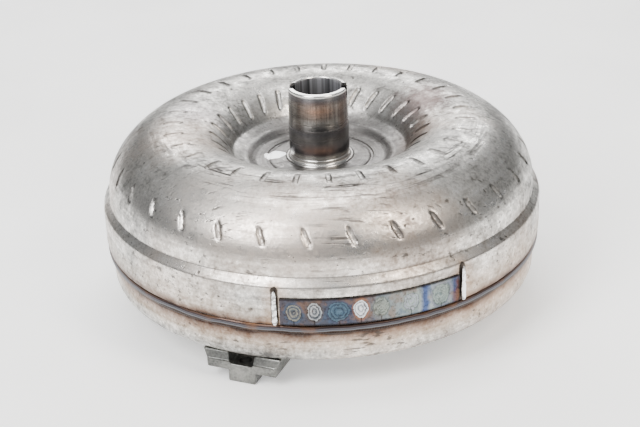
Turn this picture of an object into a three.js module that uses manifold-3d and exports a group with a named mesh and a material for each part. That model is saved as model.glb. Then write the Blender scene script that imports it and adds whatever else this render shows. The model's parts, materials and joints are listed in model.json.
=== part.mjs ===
/**
 * Torque converter with a lock-up clutch, for a bench teardown.
 *
 * The housing is the impeller: a pressed torus shell with its vanes, the pump drive hub and the front
 * cover, welded together. Inside it turn the turbine on its splined hub, the stator on its one-way
 * roller clutch, and the lock-up piston, which drives the turbine through a ring of coil springs.
 *
 * Millimetres and degrees. +Z runs along the axis towards the pump drive hub. The origin is on the
 * axis, in the plane of the three drive pads and the end of the crank pilot.
 */
import * as THREE from 'three';
import { mergeVertices } from 'three/addons/utils/BufferGeometryUtils.js';
import Module from 'manifold-3d';

const wasm = await Module();
wasm.setup();

// ---- Driving dimensions: fits -------------------------------------------------------------------
const seatGap = 0.3;                // between pieces that seat on each other
const runningGap = 1.5;             // between the turning wheels and what surrounds them
const vaneTipShare = 0.0065;        // gap at the edge of a vane, as a share of the belt radius
const pistonTravel = 1;             // from the lining on the cover to the piston fully back

// ---- Driving dimensions: housing ----------------------------------------------------------------
const beltRadius = 156;             // outside of the cylindrical belt round the seam
const beltWall = 3.4;
const beltBottom = 51.6;            // lower edge of the belt, where the seam weld starts
const beltTaperTop = 55.7;
const beltTaper = 0.7;
const beltTop = 77.4;
const shoulderStep = 4.9;           // how far the torus wall stands in from the belt
const wallHeight = 89.1;            // where the torus wall is vertical
const crownRadius = 101.8;
const crownHeight = 132;
const eyeRadius = 55.8;             // where the inner flank would meet the wall height
const wallFullness = 1.853;         // superellipse exponent of the outer quarter, 2 is an ellipse
const shellWall = 5;
const ridgeRadius = 52.5;
const ridgeHeight = 106.7;
const floorEdgeRadius = 47.9;
const floorHeight = 101.8;
const floorRise = 1.8;              // how far the floor climbs towards the hub
const floorGrooveRadius = 37.2;
const floorGrooveDepth = 0.8;

const hubMouthHeight = 156;
const hubRadius = 21;
const hubSwell = 0.4;               // extra radius of the lower half of the hub
const hubBoreRadius = 16.9;
const hubFootRadius = 24;
const hubFootRise = 3.4;            // height of the band at the foot of the hub
const hubFlangeRadius = 36;
const hubFlangeThickness = 1.9;
const hubSlotWidth = 11;
const hubSlotDepth = 8;
const hubSlotAzimuth = -4.7;

const coverBottom = 21.5;           // outside face of the cover, above the drive pads
const coverWall = 5;
const coverCorner = 8;
const dishDepth = 6;
const dishRadius = 92;
const dishSlope = 12;
const pilotRadius = 22;
const pilotRelief = 1.5;

const seamWeldProud = 2.9;
const seamWeldBottom = 45.4;

// ---- Driving dimensions: drive lugs -------------------------------------------------------------
const lugCount = 3;
const lugAzimuth = -112.8;
const lugFaceRadius = 148.4;
const lugDepth = 26;
const lugHalfWidth = 25;
const lugFlare = 3;
const lugWingBottom = 8.4;
const lugBevelHeight = 15.1;
const stemHalfWidth = 9.7;
const windowHalfWidth = 7.8;
const windowFlare = 1.7;
const windowSill = 13.1;
const boltCircleRadius = 140.5;
const boltHoleRadius = 4.25;        // tapping size of an M10 thread

// ---- Driving dimensions: balance strip ----------------------------------------------------------
const stripStart = -100.9;
const stripEnd = -56.4;
const stripBottom = 53;
const stripTop = 72;
const stripThickness = 1;
const stripBeadHalfHeight = 12.5;
const stripBeadHalfWidth = 2;
const stripBeadDepth = 1.4;
const stripBeadOffset = 1.2;        // degrees beyond each end of the strip

// ---- Driving dimensions: small chamfers and radii -----------------------------------------------
const smallChamfer = 1.2;
const lugChamfer = 1.8;
const lugBevelAngle = 16;
const hubMouthChamfer = 2.2;
const hubBoreChamfer = 0.8;

// ---- Driving dimensions: vanes ------------------------------------------------------------------
const impellerVaneCount = 31;
const turbineVaneCount = 29;
const vaneThickness = 1.2;
const vanePhase = 5.5;              // azimuth of the first impeller vane at the crown
const vaneEyeSweep = 6.2;           // how far the inner end of an impeller vane trails its crown
const vaneRimSweep = 3.85;          // the same for its outer end
const vaneSweepPower = 1.65;
const vaneSweepSpan = 55;           // meridian degrees from the crown over which the sweep is reached
const turbineSweep = 22;            // degrees turned through by a turbine vane
const coreRadius = 16;              // of the half-round core ring's section
const coreOffset = 2.7;             // core centre outside the crown radius
const coreWall = 1.2;
const splitDrop = 2.6;              // plane between the two wheels, below the wall height
const dimpleDepth = 2;              // below the true surface, which the facets lie a little under
const dimpleWidth = 4;

// ---- Driving dimensions: turbine ----------------------------------------------------------------
const clutchSpace = 20;             // from the cover's inner face to the turbine's lowest point
const turbineWall = 2;
const turbineEyeRadius = 59;
const turbineFlangeInner = 40;
const turbineHubFlangeRadius = 50;
const turbineHubFlangeBottom = 56;
const turbineHubFlangeThickness = 5;
const turbineBarrelRadius = 27.6;
const turbineNeckRadius = 24;
const turbineBarrelTop = 42;
const turbineSplineRadius = 11.9;
const rivetCount = 6;
const rivetCircleRadius = 45;
const rivetRadius = 2.6;
const rivetHeadRadius = 4.4;
const rivetHeadHeight = 1.8;

// ---- Driving dimensions: lock-up clutch and damper ----------------------------------------------
const liningThickness = 1.5;
const liningInset = 13.3;           // from the cover's outside to the lining's outer edge
const liningWidth = 27;
const pistonPlate = 4;
const pistonRimGap = 3;             // between the piston's rim and the cover's wall
const pistonLipHeight = 8;
const pistonCollarWall = 3.6;
const pistonCollarHeight = 9;
const sealGrooveDepth = 2.6;
const sealWidth = 2.4;
const retainerPlate = 1.6;
const retainerInset = 27;           // from the spring circle to the retainer's inner edge
const driveTabInset = 23.5;         // from the spring circle to the inside of the piston's tabs
const driveTabThickness = 4;
const driveTabHalfWidth = 7;
const springCount = 6;
const springInset = 22.3;           // from the cover's outside to the spring circle
const springSpan = 40;              // degrees of arc taken by one spring
const springTurns = 5;
const coilRadius = 4.6;
const wireRadius = 1.6;
const tangThickness = 5;

// ---- Driving dimensions: stator and one-way clutch ----------------------------------------------
const raceThickness = 1.2;
const needleDiameter = 3;
const needleCount = 8;
const bearingInner = 19;
const bearingOuter = 34;
const washerThickness = 2;
const washerInner = 17;
const washerOuter = 27;
const sidePlate = 2;
const innerRaceRadius = 26;
const statorSplineRadius = 15.4;
const splineTooth = 1;
const splineTeeth = 16;
const rollerCount = 8;
const rollerRadius = 4;
const camOuterRadius = 41.7;
const camClearance = 0.5;           // round the roller at the wide end of its ramp
const camRamp = 1.1;                // how much the ramp closes in on the roller
const statorHubWall = 15;
const statorVaneCount = 13;
const statorVaneThickness = 4.6;
const shroudRadius = 84;
const shroudWall = 2.2;

// ---- Facets -------------------------------------------------------------------------------------
const shellFacets = 36;
const wheelFacets = 28;
const hubFacets = 20;
const bowlSteps = 6;                // along the inside of a bowl, two for each step of a vane
const skinSteps = 8;                // along the outside of the impeller shell

// ---- Derived heights and radii ------------------------------------------------------------------
const vaneTipGap = vaneTipShare * beltRadius;
const wallRadius = beltRadius - shoulderStep;
const coverRadius = beltRadius - beltWall - seatGap;
const coverFloor = coverBottom + coverWall;
const coverRim = beltTop + 1.5;
const dishBottom = coverBottom - dishDepth;
const dishFloor = dishBottom + coverWall;
const splitHeight = wallHeight - splitDrop;
const coreCentre = crownRadius + coreOffset;
const turbineRim = splitHeight - runningGap;
const turbineBottom = coverFloor + clutchSpace;
const hubFlangeTop = floorHeight - shellWall - seatGap;
const hubFlangeBottom = hubFlangeTop - hubFlangeThickness;
const liningOuter = coverRadius - liningInset;
const liningInner = liningOuter - liningWidth;
const liningBottom = coverFloor + seatGap;
const pistonBottom = liningBottom + liningThickness + seatGap;
const pistonTop = pistonBottom + pistonPlate;
const retainerBottom = pistonTop + pistonTravel + runningGap - 0.5;
const retainerTop = retainerBottom + retainerPlate;
const springCircle = coverRadius - springInset;
const retainerInner = springCircle - retainerInset;
const driveTabRadius = springCircle - driveTabInset;
const springHeight = retainerTop + coilRadius + wireRadius + seatGap;
const retainerOuter = springCircle + coilRadius + wireRadius + retainerPlate + runningGap;
const turbineFlangeBottom = turbineHubFlangeBottom + turbineHubFlangeThickness + seatGap;
const bearingHeight = 2 * raceThickness + needleDiameter + 2 * seatGap;
const lowerBearingBottom = turbineFlangeBottom;
const lowerPlateBottom = lowerBearingBottom + bearingHeight + seatGap;
const upperBearingBottom = hubFlangeBottom - seatGap - bearingHeight;
const upperPlateBottom = upperBearingBottom - seatGap - sidePlate;
const camBottom = lowerPlateBottom + sidePlate + seatGap;
const camTop = upperPlateBottom - seatGap;
const statorHubInner = camOuterRadius + seatGap;
const statorHubOuter = statorHubInner + statorHubWall;
const rollerCircle = innerRaceRadius + rollerRadius + 0.2;

const impellerBowl = {
  crown: crownRadius, outer: wallRadius, inner: eyeRadius, mid: wallHeight,
  rise: crownHeight - wallHeight, fullness: wallFullness, rim: 4, eye: 144,
};
const turbineBowl = {
  crown: crownRadius, outer: wallRadius - shellWall - runningGap, inner: turbineEyeRadius,
  mid: turbineRim, rise: turbineBottom - turbineRim, fullness: 2, rim: 2, eye: 138,
};

// ---- Finishes -----------------------------------------------------------------------------------
const finishes = {
  shellSteel: { color: 0xb9b5ad, roughness: 0.38, metalness: 1 },
  groundSteel: { color: 0x8a7f76, roughness: 0.25, metalness: 1 },
  forgedSteel: { color: 0x8f8f8a, roughness: 0.55, metalness: 1 },
  weldBead: { color: 0x7b8188, roughness: 0.45, metalness: 1 },
  temperedStrip: { color: 0x7d8ea3, roughness: 0.4, metalness: 1 },
  vaneSteel: { color: 0xa39d92, roughness: 0.45, metalness: 1 },
  springSteel: { color: 0x5d6066, roughness: 0.35, metalness: 1 },
  bearingSteel: { color: 0xc9ccd0, roughness: 0.2, metalness: 1 },
  castAluminium: { color: 0xc4c6c8, roughness: 0.5, metalness: 1 },
  bronze: { color: 0xa9814f, roughness: 0.4, metalness: 1 },
  friction: { color: 0x4a3626, roughness: 0.95, metalness: 0 },
  sealPolymer: { color: 0x2c2f2b, roughness: 0.6, metalness: 0 },
};

// ---- Geometry helpers ---------------------------------------------------------------------------
const rad = THREE.MathUtils.degToRad;
const at = (radius, height) => new THREE.Vector2(radius, height);

/** A point at a radius, an azimuth in degrees and a height. */
function polar(radius, azimuth, height) {
  return new THREE.Vector3(radius * Math.cos(rad(azimuth)), radius * Math.sin(rad(azimuth)), height);
}

/** Welds a geometry's corners, drops its empty triangles and turns its faces outwards. */
function welded(geometry) {
  geometry.deleteAttribute('normal');
  geometry.deleteAttribute('uv');
  const merged = mergeVertices(geometry, 1e-4);
  const place = merged.getAttribute('position');
  const index = merged.getIndex().array;
  const corner = [new THREE.Vector3(), new THREE.Vector3(), new THREE.Vector3()];
  const triangles = [];
  let volume = 0;
  for (let i = 0; i < index.length; i += 3) {
    const [a, b, c] = index.slice(i, i + 3);
    if (a === b || b === c || c === a) continue;
    triangles.push([a, b, c]);
    [a, b, c].forEach((vertex, k) => corner[k].fromBufferAttribute(place, vertex));
    volume += corner[0].dot(corner[1].cross(corner[2]));
  }
  merged.setIndex((volume < 0 ? triangles.map((t) => t.reverse()) : triangles).flat());
  return merged;
}

/** A manifold solid from a closed geometry. */
function solid(geometry) {
  const closed = welded(geometry);
  return new wasm.Manifold(new wasm.Mesh({
    numProp: 3,
    vertProperties: new Float32Array(closed.getAttribute('position').array),
    triVerts: new Uint32Array(closed.getIndex().array),
  }));
}

/** The geometry of a manifold solid. */
function surface(manifold) {
  const mesh = manifold.getMesh();
  const geometry = new THREE.BufferGeometry();
  geometry.setAttribute('position', new THREE.BufferAttribute(mesh.vertProperties, 3));
  geometry.setIndex(new THREE.BufferAttribute(mesh.triVerts, 1));
  return geometry;
}

const joined = (first, ...rest) => surface(rest.reduce((sum, g) => sum.add(solid(g)), solid(first)));
const cut = (body, ...tools) => surface(tools.reduce((sum, g) => sum.subtract(solid(g)), solid(body)));

/** Revolves a closed profile of (radius, height) points round the axis. */
function revolve(profile, facets = hubFacets) {
  const lathe = new THREE.LatheGeometry([...profile, profile[0]], facets);
  lathe.rotateX(Math.PI / 2);
  return welded(lathe);
}

/** A flat ring of rectangular section. */
function ring(inner, outer, bottom, top, facets = hubFacets) {
  return revolve([at(inner, bottom), at(outer, bottom), at(outer, top), at(inner, top)], facets);
}

/** Extrudes a flat shape upwards between two heights. */
function plate(shape, bottom, top, curveSegments = 6) {
  const slab = new THREE.ExtrudeGeometry(shape, { depth: top - bottom, bevelEnabled: false, curveSegments });
  slab.translate(0, 0, bottom);
  return slab;
}

/** A block bounded by two radii, two azimuths and two heights. */
function sector(inner, outer, from, to, bottom, top, steps = 2) {
  const outline = new THREE.Shape();
  outline.absarc(0, 0, outer, rad(from), rad(to), false);
  outline.absarc(0, 0, inner, rad(to), rad(from), true);
  return plate(outline, bottom, top, steps);
}

/** Skins a closed solid over sections that have the same number of points. */
function loft(sections) {
  const count = sections[0].length;
  const index = [];
  for (let s = 0; s + 1 < sections.length; s++) {
    for (let k = 0; k < count; k++) {
      const next = (k + 1) % count;
      const [a, b] = [s * count + k, s * count + next];
      index.push(a, b, b + count, a, b + count, a + count);
    }
  }
  const last = (sections.length - 1) * count;
  for (let k = 1; k + 1 < count; k++) {
    index.push(0, k + 1, k);
    index.push(last, last + k, last + k + 1);
  }
  const geometry = new THREE.BufferGeometry().setFromPoints(sections.flat());
  geometry.setIndex(index);
  return welded(geometry);
}

const turned = (geometry, degrees) => geometry.clone().rotateZ(rad(degrees));

/** Angles that share a full turn evenly. */
const around = (count, first = 0) => Array.from({ length: count }, (_, k) => first + (360 * k) / count);

/** Evenly spaced values from one to another. */
function spread(from, to, steps) {
  return Array.from({ length: steps + 1 }, (_, k) => from + ((to - from) * k) / steps);
}

// ---- Meridian of the torus ----------------------------------------------------------------------
/** A bowl's (radius, height): 0 degrees at its rim, 90 at its crown, 180 at its eye. */
function meridian(bowl, angle) {
  const cosine = Math.cos(rad(angle));
  const sine = Math.sin(rad(angle));
  const power = cosine > 0 ? 2 / bowl.fullness : 1;
  const reach = cosine > 0 ? bowl.outer - bowl.crown : bowl.crown - bowl.inner;
  return at(
    bowl.crown + Math.sign(cosine) * reach * Math.abs(cosine) ** power,
    bowl.mid + bowl.rise * Math.abs(sine) ** power,
  );
}

/** The same point moved towards the inside of the bowl by a depth. */
function under(bowl, angle, depth) {
  const point = meridian(bowl, angle);
  const along = meridian(bowl, angle + 1).sub(point).normalize();
  const normal = at(-along.y, along.x).multiplyScalar(Math.sign(bowl.rise));
  return point.addScaledVector(normal, depth);
}

// ---- Impeller -----------------------------------------------------------------------------------
const flankAngle = 150;             // where the impeller's inner flank leaves its ellipse

function impellerShellProfile() {
  const bore = hubFootRadius + seatGap;
  const shoulder = spread(0, 1, 3).slice(1).map((t) => at(
    wallRadius + shoulderStep * (1 - Math.cos(Math.PI * t)) / 2,
    THREE.MathUtils.lerp(wallHeight, beltTop, t),
  ));
  const skirtInner = coverRadius + seatGap;
  const joggleTop = coverRim + (beltWall + shellWall) / 2;
  const flankEnd = meridian(impellerBowl, flankAngle);
  return [
    at(bore, floorHeight - shellWall),
    at(bore, floorHeight + floorRise),
    at(floorGrooveRadius - smallChamfer, floorHeight + floorRise / 2),
    at(floorGrooveRadius, floorHeight + floorRise / 2 - floorGrooveDepth),
    at(floorGrooveRadius + smallChamfer, floorHeight + floorRise / 2),
    at(floorEdgeRadius, floorHeight),
    at(ridgeRadius, ridgeHeight),
    at((ridgeRadius + flankEnd.x) / 2, ridgeHeight + (flankEnd.y - ridgeHeight) * 0.35),
    ...spread(flankAngle, 0, skinSteps).map((angle) => meridian(impellerBowl, angle)),
    ...shoulder,
    at(beltRadius, beltTaperTop),
    at(beltRadius - beltTaper, beltBottom),
    at(skirtInner, beltBottom),
    at(skirtInner, coverRim + seatGap),
    at(wallRadius - shellWall, joggleTop),
    ...spread(impellerBowl.rim, impellerBowl.eye, bowlSteps).map(
      (angle) => under(impellerBowl, angle, shellWall),
    ),
    at(ridgeRadius + shellWall, ridgeHeight - shellWall),
    at(floorEdgeRadius + shellWall / 2, floorHeight - shellWall),
  ];
}

/** Pressed pits over the vane tabs: rows by meridian angle, swept as the vanes are. */
function dimples() {
  const rows = [
    { from: 141, to: 122 },
    { from: 96, to: 79 },
    { from: 36, to: 22 },
  ];
  return rows.flatMap(({ from, to }) => {
    const middle = (from + to) / 2;
    const length = meridian(impellerBowl, from).distanceTo(meridian(impellerBowl, to));
    const start = polarOnShell(from);
    const end = polarOnShell(to);
    const along = end.clone().sub(start).normalize();
    const inward = polarOnShell(middle, 1).sub(polarOnShell(middle)).normalize();
    const across = new THREE.Vector3().crossVectors(inward, along).normalize();
    const pit = new THREE.CylinderGeometry(0.6, 1, 1, 4);
    pit.rotateY(Math.PI / 4);
    const place = new THREE.Matrix4().makeBasis(
      across.multiplyScalar(dimpleWidth / Math.SQRT2),
      inward.clone().multiplyScalar(2 * dimpleDepth),
      along.multiplyScalar(length / Math.SQRT2),
    );
    place.setPosition(polarOnShell(middle, 0));
    pit.applyMatrix4(place);
    return around(impellerVaneCount).map((azimuth) => turned(pit, azimuth));
  });
}

/** Azimuth of an impeller vane at a meridian angle. */
function vaneAzimuth(angle) {
  const sweep = angle > 90 ? vaneEyeSweep : vaneRimSweep;
  return vanePhase + sweep * Math.abs((angle - 90) / vaneSweepSpan) ** vaneSweepPower;
}

/** A point on the impeller shell over a vane, sunk by a depth. */
function polarOnShell(angle, depth = 0) {
  const point = under(impellerBowl, angle, depth);
  return polar(point.x, vaneAzimuth(angle), point.y);
}

const impellerShell = () => cut(revolve(impellerShellProfile(), shellFacets), ...dimples());

const coreAngles = [...spread(0, 141, bowlSteps / 2), 180];

/** A point on the core ring's section, above or below the plane between the wheels. */
function corePoint(edge, side, radius, angle) {
  return at(coreCentre + radius * Math.cos(rad(angle)), edge + side * radius * Math.sin(rad(angle)));
}

/**
 * A ring of vanes between a bowl and its half-round core ring, in one piece with the core ring.
 *
 * Each station along the meridian gives every vane six corners: the two sides of its foot on the
 * core ring, the same two inside the ring, and the two sides of its tip under the bowl. The skin
 * runs round these corners, so the vanes grow out of the ring with no seam. Both sides of a wall
 * are folded along the same diagonal, so that its thickness holds where the vanes twist. The last
 * station carries the ring alone, past the end of the vanes.
 */
function vaneRing({ bowl, wall, count, edge, side, azimuth }) {
  const bowlAngles = spread(bowl.rim, bowl.eye, bowlSteps / 2);
  const points = [];
  const corners = around(count).map((turn) => coreAngles.map((coreAngle, station) => {
    const bowlAngle = bowlAngles[Math.min(station, bowlAngles.length - 1)];
    const rows = {
      foot: corePoint(edge, side, coreRadius, coreAngle),
      inside: corePoint(edge, side, coreRadius - coreWall, coreAngle),
      tip: station < bowlAngles.length ? under(bowl, bowlAngle, wall + vaneTipGap) : null,
    };
    const pair = (row) => [-1, 1].map((hand) => {
      const lean = THREE.MathUtils.radToDeg(vaneThickness / 2 / row.x);
      return points.push(polar(row.x, turn + azimuth(bowlAngle) + hand * lean, row.y)) - 1;
    });
    return { foot: pair(rows.foot), inside: pair(rows.inside), tip: rows.tip && pair(rows.tip) };
  }));
  const index = [];
  const quad = (a, b, c, d) => index.push(a, b, c, a, c, d);
  const strip = (from, to, a, b) => quad(a(from), a(to), b(to), b(from));
  const backStrip = (from, to, a, b) => quad(a(to), b(to), b(from), a(from));
  corners.forEach((vane, k) => {
    const next = corners[(k + 1) % count];
    const last = coreAngles.length - 1;
    for (let j = 0; j < last; j++) {
      if (j + 1 < last) {
        strip(j, j + 1, (s) => vane[s].foot[0], (s) => vane[s].tip[0]);
        strip(j, j + 1, (s) => vane[s].tip[0], (s) => vane[s].tip[1]);
        backStrip(j, j + 1, (s) => vane[s].tip[1], (s) => vane[s].foot[1]);
      } else {
        strip(j, j + 1, (s) => vane[s].foot[0], (s) => vane[s].foot[1]);
      }
      strip(j, j + 1, (s) => vane[s].foot[1], (s) => next[s].foot[0]);
      strip(j, j + 1, (s) => vane[s].inside[1], (s) => vane[s].inside[0]);
      backStrip(j, j + 1, (s) => next[s].inside[0], (s) => vane[s].inside[1]);
    }
    const [rim, eye, end] = [vane[0], vane[last - 1], vane[last]];
    quad(rim.foot[0], rim.tip[0], rim.tip[1], rim.foot[1]);
    quad(eye.foot[1], eye.tip[1], eye.tip[0], eye.foot[0]);
    quad(rim.inside[0], rim.foot[0], rim.foot[1], rim.inside[1]);
    quad(rim.inside[1], rim.foot[1], next[0].foot[0], next[0].inside[0]);
    quad(end.inside[1], end.foot[1], end.foot[0], end.inside[0]);
    quad(next[last].inside[0], next[last].foot[0], end.foot[1], end.inside[1]);
  });
  const skin = new THREE.BufferGeometry().setFromPoints(points);
  skin.setIndex(index);
  return welded(skin);
}

const impellerVanes = () => vaneRing({
  bowl: impellerBowl, wall: shellWall, count: impellerVaneCount, edge: splitHeight + runningGap,
  side: 1, azimuth: vaneAzimuth,
});

function impellerHub() {
  const foot = floorHeight + floorRise;
  const swell = hubRadius + hubSwell;
  const middle = (foot + hubMouthHeight) / 2;
  const body = revolve([
    at(hubBoreRadius, hubFlangeBottom),
    at(hubFlangeRadius, hubFlangeBottom),
    at(hubFlangeRadius, hubFlangeTop),
    at(hubFootRadius, hubFlangeTop),
    at(hubFootRadius, foot + hubSwell),
    at(swell + hubSwell, foot + hubFootRise / 2),
    at(swell, foot + hubFootRise),
    at(swell, middle),
    at(hubRadius, middle + hubBoreChamfer),
    at(hubRadius, hubMouthHeight - hubMouthChamfer),
    at(hubRadius - hubMouthChamfer / 2, hubMouthHeight),
    at(hubBoreRadius + hubBoreChamfer, hubMouthHeight),
    at(hubBoreRadius, hubMouthHeight - hubBoreChamfer),
  ]);
  const slot = new THREE.BoxGeometry(4 * hubFootRadius, hubSlotWidth, 2 * hubSlotDepth);
  slot.translate(0, 0, hubMouthHeight);
  return cut(body, turned(slot, hubSlotAzimuth));
}

// ---- Front cover --------------------------------------------------------------------------------
function frontCover() {
  const inner = coverRadius - coverWall;
  const round = (centre, radius, from, to) => spread(from, to, 3).map((angle) => at(
    centre.x + radius * Math.cos(rad(angle)), centre.y + radius * Math.sin(rad(angle)),
  ));
  const corner = at(coverRadius - coverCorner, coverBottom + coverCorner);
  return revolve([
    at(0, dishFloor),
    at(0, dishBottom),
    at(dishRadius, dishBottom),
    at(dishRadius + dishSlope, coverBottom),
    ...round(corner, coverCorner, -90, 0),
    at(coverRadius, coverRim),
    at(inner, coverRim),
    ...round(corner, coverCorner - coverWall, 0, -90),
    at(dishRadius + dishSlope - coverWall / 3, coverFloor),
    at(dishRadius - coverWall / 3, dishFloor),
  ], shellFacets);
}

function crankPilot() {
  const top = dishBottom - seatGap;
  return revolve([
    at(0, 0),
    at(pilotRadius - pilotRelief, 0),
    at(pilotRadius, pilotRelief),
    at(pilotRadius, top - 2 * pilotRelief),
    at(pilotRadius + 2 * pilotRelief, top),
    at(0, top),
  ]);
}

/** The bead that closes the seam, on the cover's wall and under the belt's edge. */
function seamWeld() {
  const inner = coverRadius + seatGap;
  const top = beltBottom - seatGap;
  return revolve([
    at(inner, top),
    at(inner + seamWeldProud - 0.2, top),
    at(inner + seamWeldProud, top - 1.4),
    at(inner + seamWeldProud * 0.8, (top + seamWeldBottom) / 2 - 0.6),
    at(inner + seamWeldProud * 0.45, seamWeldBottom + 0.8),
    at(inner, seamWeldBottom),
  ], shellFacets);
}

/** A drive lug: a T-shaped forging with a window above its tapped pad, facing outwards. */
function driveLug() {
  const top = coverBottom - seatGap;
  const half = [
    [stemHalfWidth - smallChamfer, 0],
    [stemHalfWidth, smallChamfer],
    [stemHalfWidth, lugWingBottom - smallChamfer],
    [stemHalfWidth + smallChamfer, lugWingBottom],
    [lugHalfWidth - lugChamfer, lugWingBottom],
    [lugHalfWidth, lugWingBottom + lugChamfer],
    [lugHalfWidth, lugBevelHeight],
    [lugHalfWidth + lugFlare, top],
    [windowHalfWidth + windowFlare, top],
    [windowHalfWidth, windowSill + smallChamfer],
    [windowHalfWidth - smallChamfer, windowSill],
  ];
  const outline = [...half, ...half.map(([x, y]) => [-x, y]).reverse()].map(([x, y]) => at(x, y));
  const block = plate(new THREE.Shape(outline), 0, lugDepth);
  block.rotateX(Math.PI / 2);
  block.rotateZ(Math.PI / 2);
  block.translate(lugFaceRadius - lugDepth, 0, 0);
  const bevel = new THREE.BoxGeometry(6, 4 * lugHalfWidth, 30);
  bevel.translate(3, 0, 15);
  bevel.rotateY(-rad(lugBevelAngle));
  bevel.translate(lugFaceRadius, 0, lugBevelHeight);
  const hole = new THREE.CylinderGeometry(boltHoleRadius, boltHoleRadius, 4 * windowSill, 16);
  hole.rotateX(Math.PI / 2);
  hole.translate(boltCircleRadius, 0, 0);
  return cut(block, bevel, hole);
}

function balanceStrip() {
  const inner = beltRadius + seatGap;
  return sector(inner, inner + stripThickness, stripStart, stripEnd, stripBottom, stripTop, 8);
}

const stripMiddleHeight = stripBottom + stripBeadHalfHeight - seatGap;

function stripBead(azimuth) {
  const bead = new THREE.SphereGeometry(1, 8, 6);
  bead.rotateX(Math.PI / 2);
  bead.scale(stripBeadDepth, stripBeadHalfWidth, stripBeadHalfHeight);
  bead.translate(beltRadius + seatGap + stripBeadDepth, 0, stripMiddleHeight);
  return turned(bead, azimuth);
}

// ---- Turbine ------------------------------------------------------------------------------------
function turbineShell() {
  const flangeTop = turbineFlangeBottom + turbineWall;
  const fairing = turbineEyeRadius + 5;
  return revolve([
    at(turbineFlangeInner, turbineFlangeBottom),
    at(fairing, turbineFlangeBottom),
    ...spread(turbineBowl.eye, turbineBowl.rim, bowlSteps).map((angle) => meridian(turbineBowl, angle)),
    ...spread(turbineBowl.rim, turbineBowl.eye, bowlSteps).map(
      (angle) => under(turbineBowl, angle, turbineWall),
    ),
    at(fairing + 1, flangeTop),
    at(turbineFlangeInner, flangeTop),
  ], wheelFacets);
}

const turbineVanes = () => vaneRing({
  bowl: turbineBowl, wall: turbineWall, count: turbineVaneCount, edge: turbineRim - seatGap,
  side: -1, azimuth: (angle) => turbineSweep * Math.sin(rad((angle * 180) / turbineBowl.eye)),
});

/** Toothed outline of an internal spline, used to cut a bore. */
function splineOutline(root) {
  const pitch = 360 / splineTeeth;
  const corners = around(splineTeeth).flatMap((azimuth) => [
    polar(root, azimuth - 0.22 * pitch, 0), polar(root, azimuth + 0.22 * pitch, 0),
    polar(root - splineTooth, azimuth + 0.32 * pitch, 0),
    polar(root - splineTooth, azimuth + 0.68 * pitch, 0),
  ]);
  return new THREE.Shape(corners.map((corner) => at(corner.x, corner.y)));
}

const sealBottom = pistonBottom + (pistonPlate - sealWidth) / 2;

function turbineHub() {
  const bottom = dishFloor + 2 * seatGap + washerThickness;
  const flangeTop = turbineHubFlangeBottom + turbineHubFlangeThickness;
  const groove = turbineBarrelRadius - sealGrooveDepth;
  const body = revolve([
    at(0, bottom),
    at(turbineBarrelRadius, bottom),
    at(turbineBarrelRadius, sealBottom - seatGap),
    at(groove, sealBottom - seatGap),
    at(groove, sealBottom + sealWidth + seatGap),
    at(turbineBarrelRadius, sealBottom + sealWidth + seatGap),
    at(turbineBarrelRadius, turbineBarrelTop),
    at(turbineNeckRadius, turbineBarrelTop + 3),
    at(turbineNeckRadius, turbineHubFlangeBottom - 3),
    at(turbineNeckRadius + 3, turbineHubFlangeBottom),
    at(turbineHubFlangeRadius, turbineHubFlangeBottom),
    at(turbineHubFlangeRadius, flangeTop),
    at(0, flangeTop),
  ]);
  const holes = around(rivetCount).map((azimuth) => {
    const hole = new THREE.CylinderGeometry(rivetRadius + seatGap, rivetRadius + seatGap, 40, 8);
    hole.rotateX(Math.PI / 2);
    hole.translate(rivetCircleRadius, 0, flangeTop);
    return turned(hole, azimuth);
  });
  return cut(body, plate(splineOutline(turbineSplineRadius), bottom - 5, flangeTop + 5), ...holes);
}

/** The turbine shell's flange, drilled for the rivets. */
function drilledTurbineShell() {
  const holes = around(rivetCount).map((azimuth) => {
    const hole = new THREE.CylinderGeometry(rivetRadius + seatGap, rivetRadius + seatGap, 20, 8);
    hole.rotateX(Math.PI / 2);
    hole.translate(rivetCircleRadius, 0, turbineFlangeBottom);
    return turned(hole, azimuth);
  });
  return cut(turbineShell(), ...holes);
}

function rivet(azimuth) {
  const bottom = turbineHubFlangeBottom - seatGap;
  const top = turbineFlangeBottom + turbineWall + seatGap;
  const body = revolve([
    at(0, bottom - rivetHeadHeight),
    at(rivetHeadRadius, bottom),
    at(rivetRadius, bottom),
    at(rivetRadius, top),
    at(rivetHeadRadius, top),
    at(0, top + rivetHeadHeight),
  ], 8);
  body.translate(rivetCircleRadius, 0, 0);
  return turned(body, azimuth);
}

// ---- Lock-up clutch and damper ------------------------------------------------------------------
const pistonBore = turbineBarrelRadius + 0.4;
const pistonRim = coverRadius - coverWall - pistonRimGap;
const springAzimuths = around(springCount, 30);
const gapAzimuths = around(springCount, 0);

function lockupPiston() {
  const collar = pistonBore + pistonCollarWall;
  const body = revolve([
    at(pistonBore, pistonBottom - 2),
    at(liningInner - 8, pistonBottom - 2),
    at(liningInner - 3, pistonBottom),
    at(pistonRim - 1.5, pistonBottom),
    at(pistonRim, pistonBottom + 1.5),
    at(pistonRim, pistonBottom + pistonLipHeight),
    at(pistonRim - 2.4, pistonBottom + pistonLipHeight),
    at(pistonRim - 2.4, pistonTop),
    at(liningInner - 3, pistonTop),
    at(liningInner - 8, pistonTop - 2),
    at(collar, pistonTop - 2),
    at(collar, pistonBottom + pistonCollarHeight),
    at(pistonBore, pistonBottom + pistonCollarHeight),
  ], wheelFacets);
  const tab = new THREE.BoxGeometry(driveTabThickness, 2 * driveTabHalfWidth, 10);
  tab.translate(driveTabRadius + driveTabThickness / 2, 0, pistonTop - 3 + 5);
  return joined(body, ...gapAzimuths.map((azimuth) => turned(tab, azimuth)));
}

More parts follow.
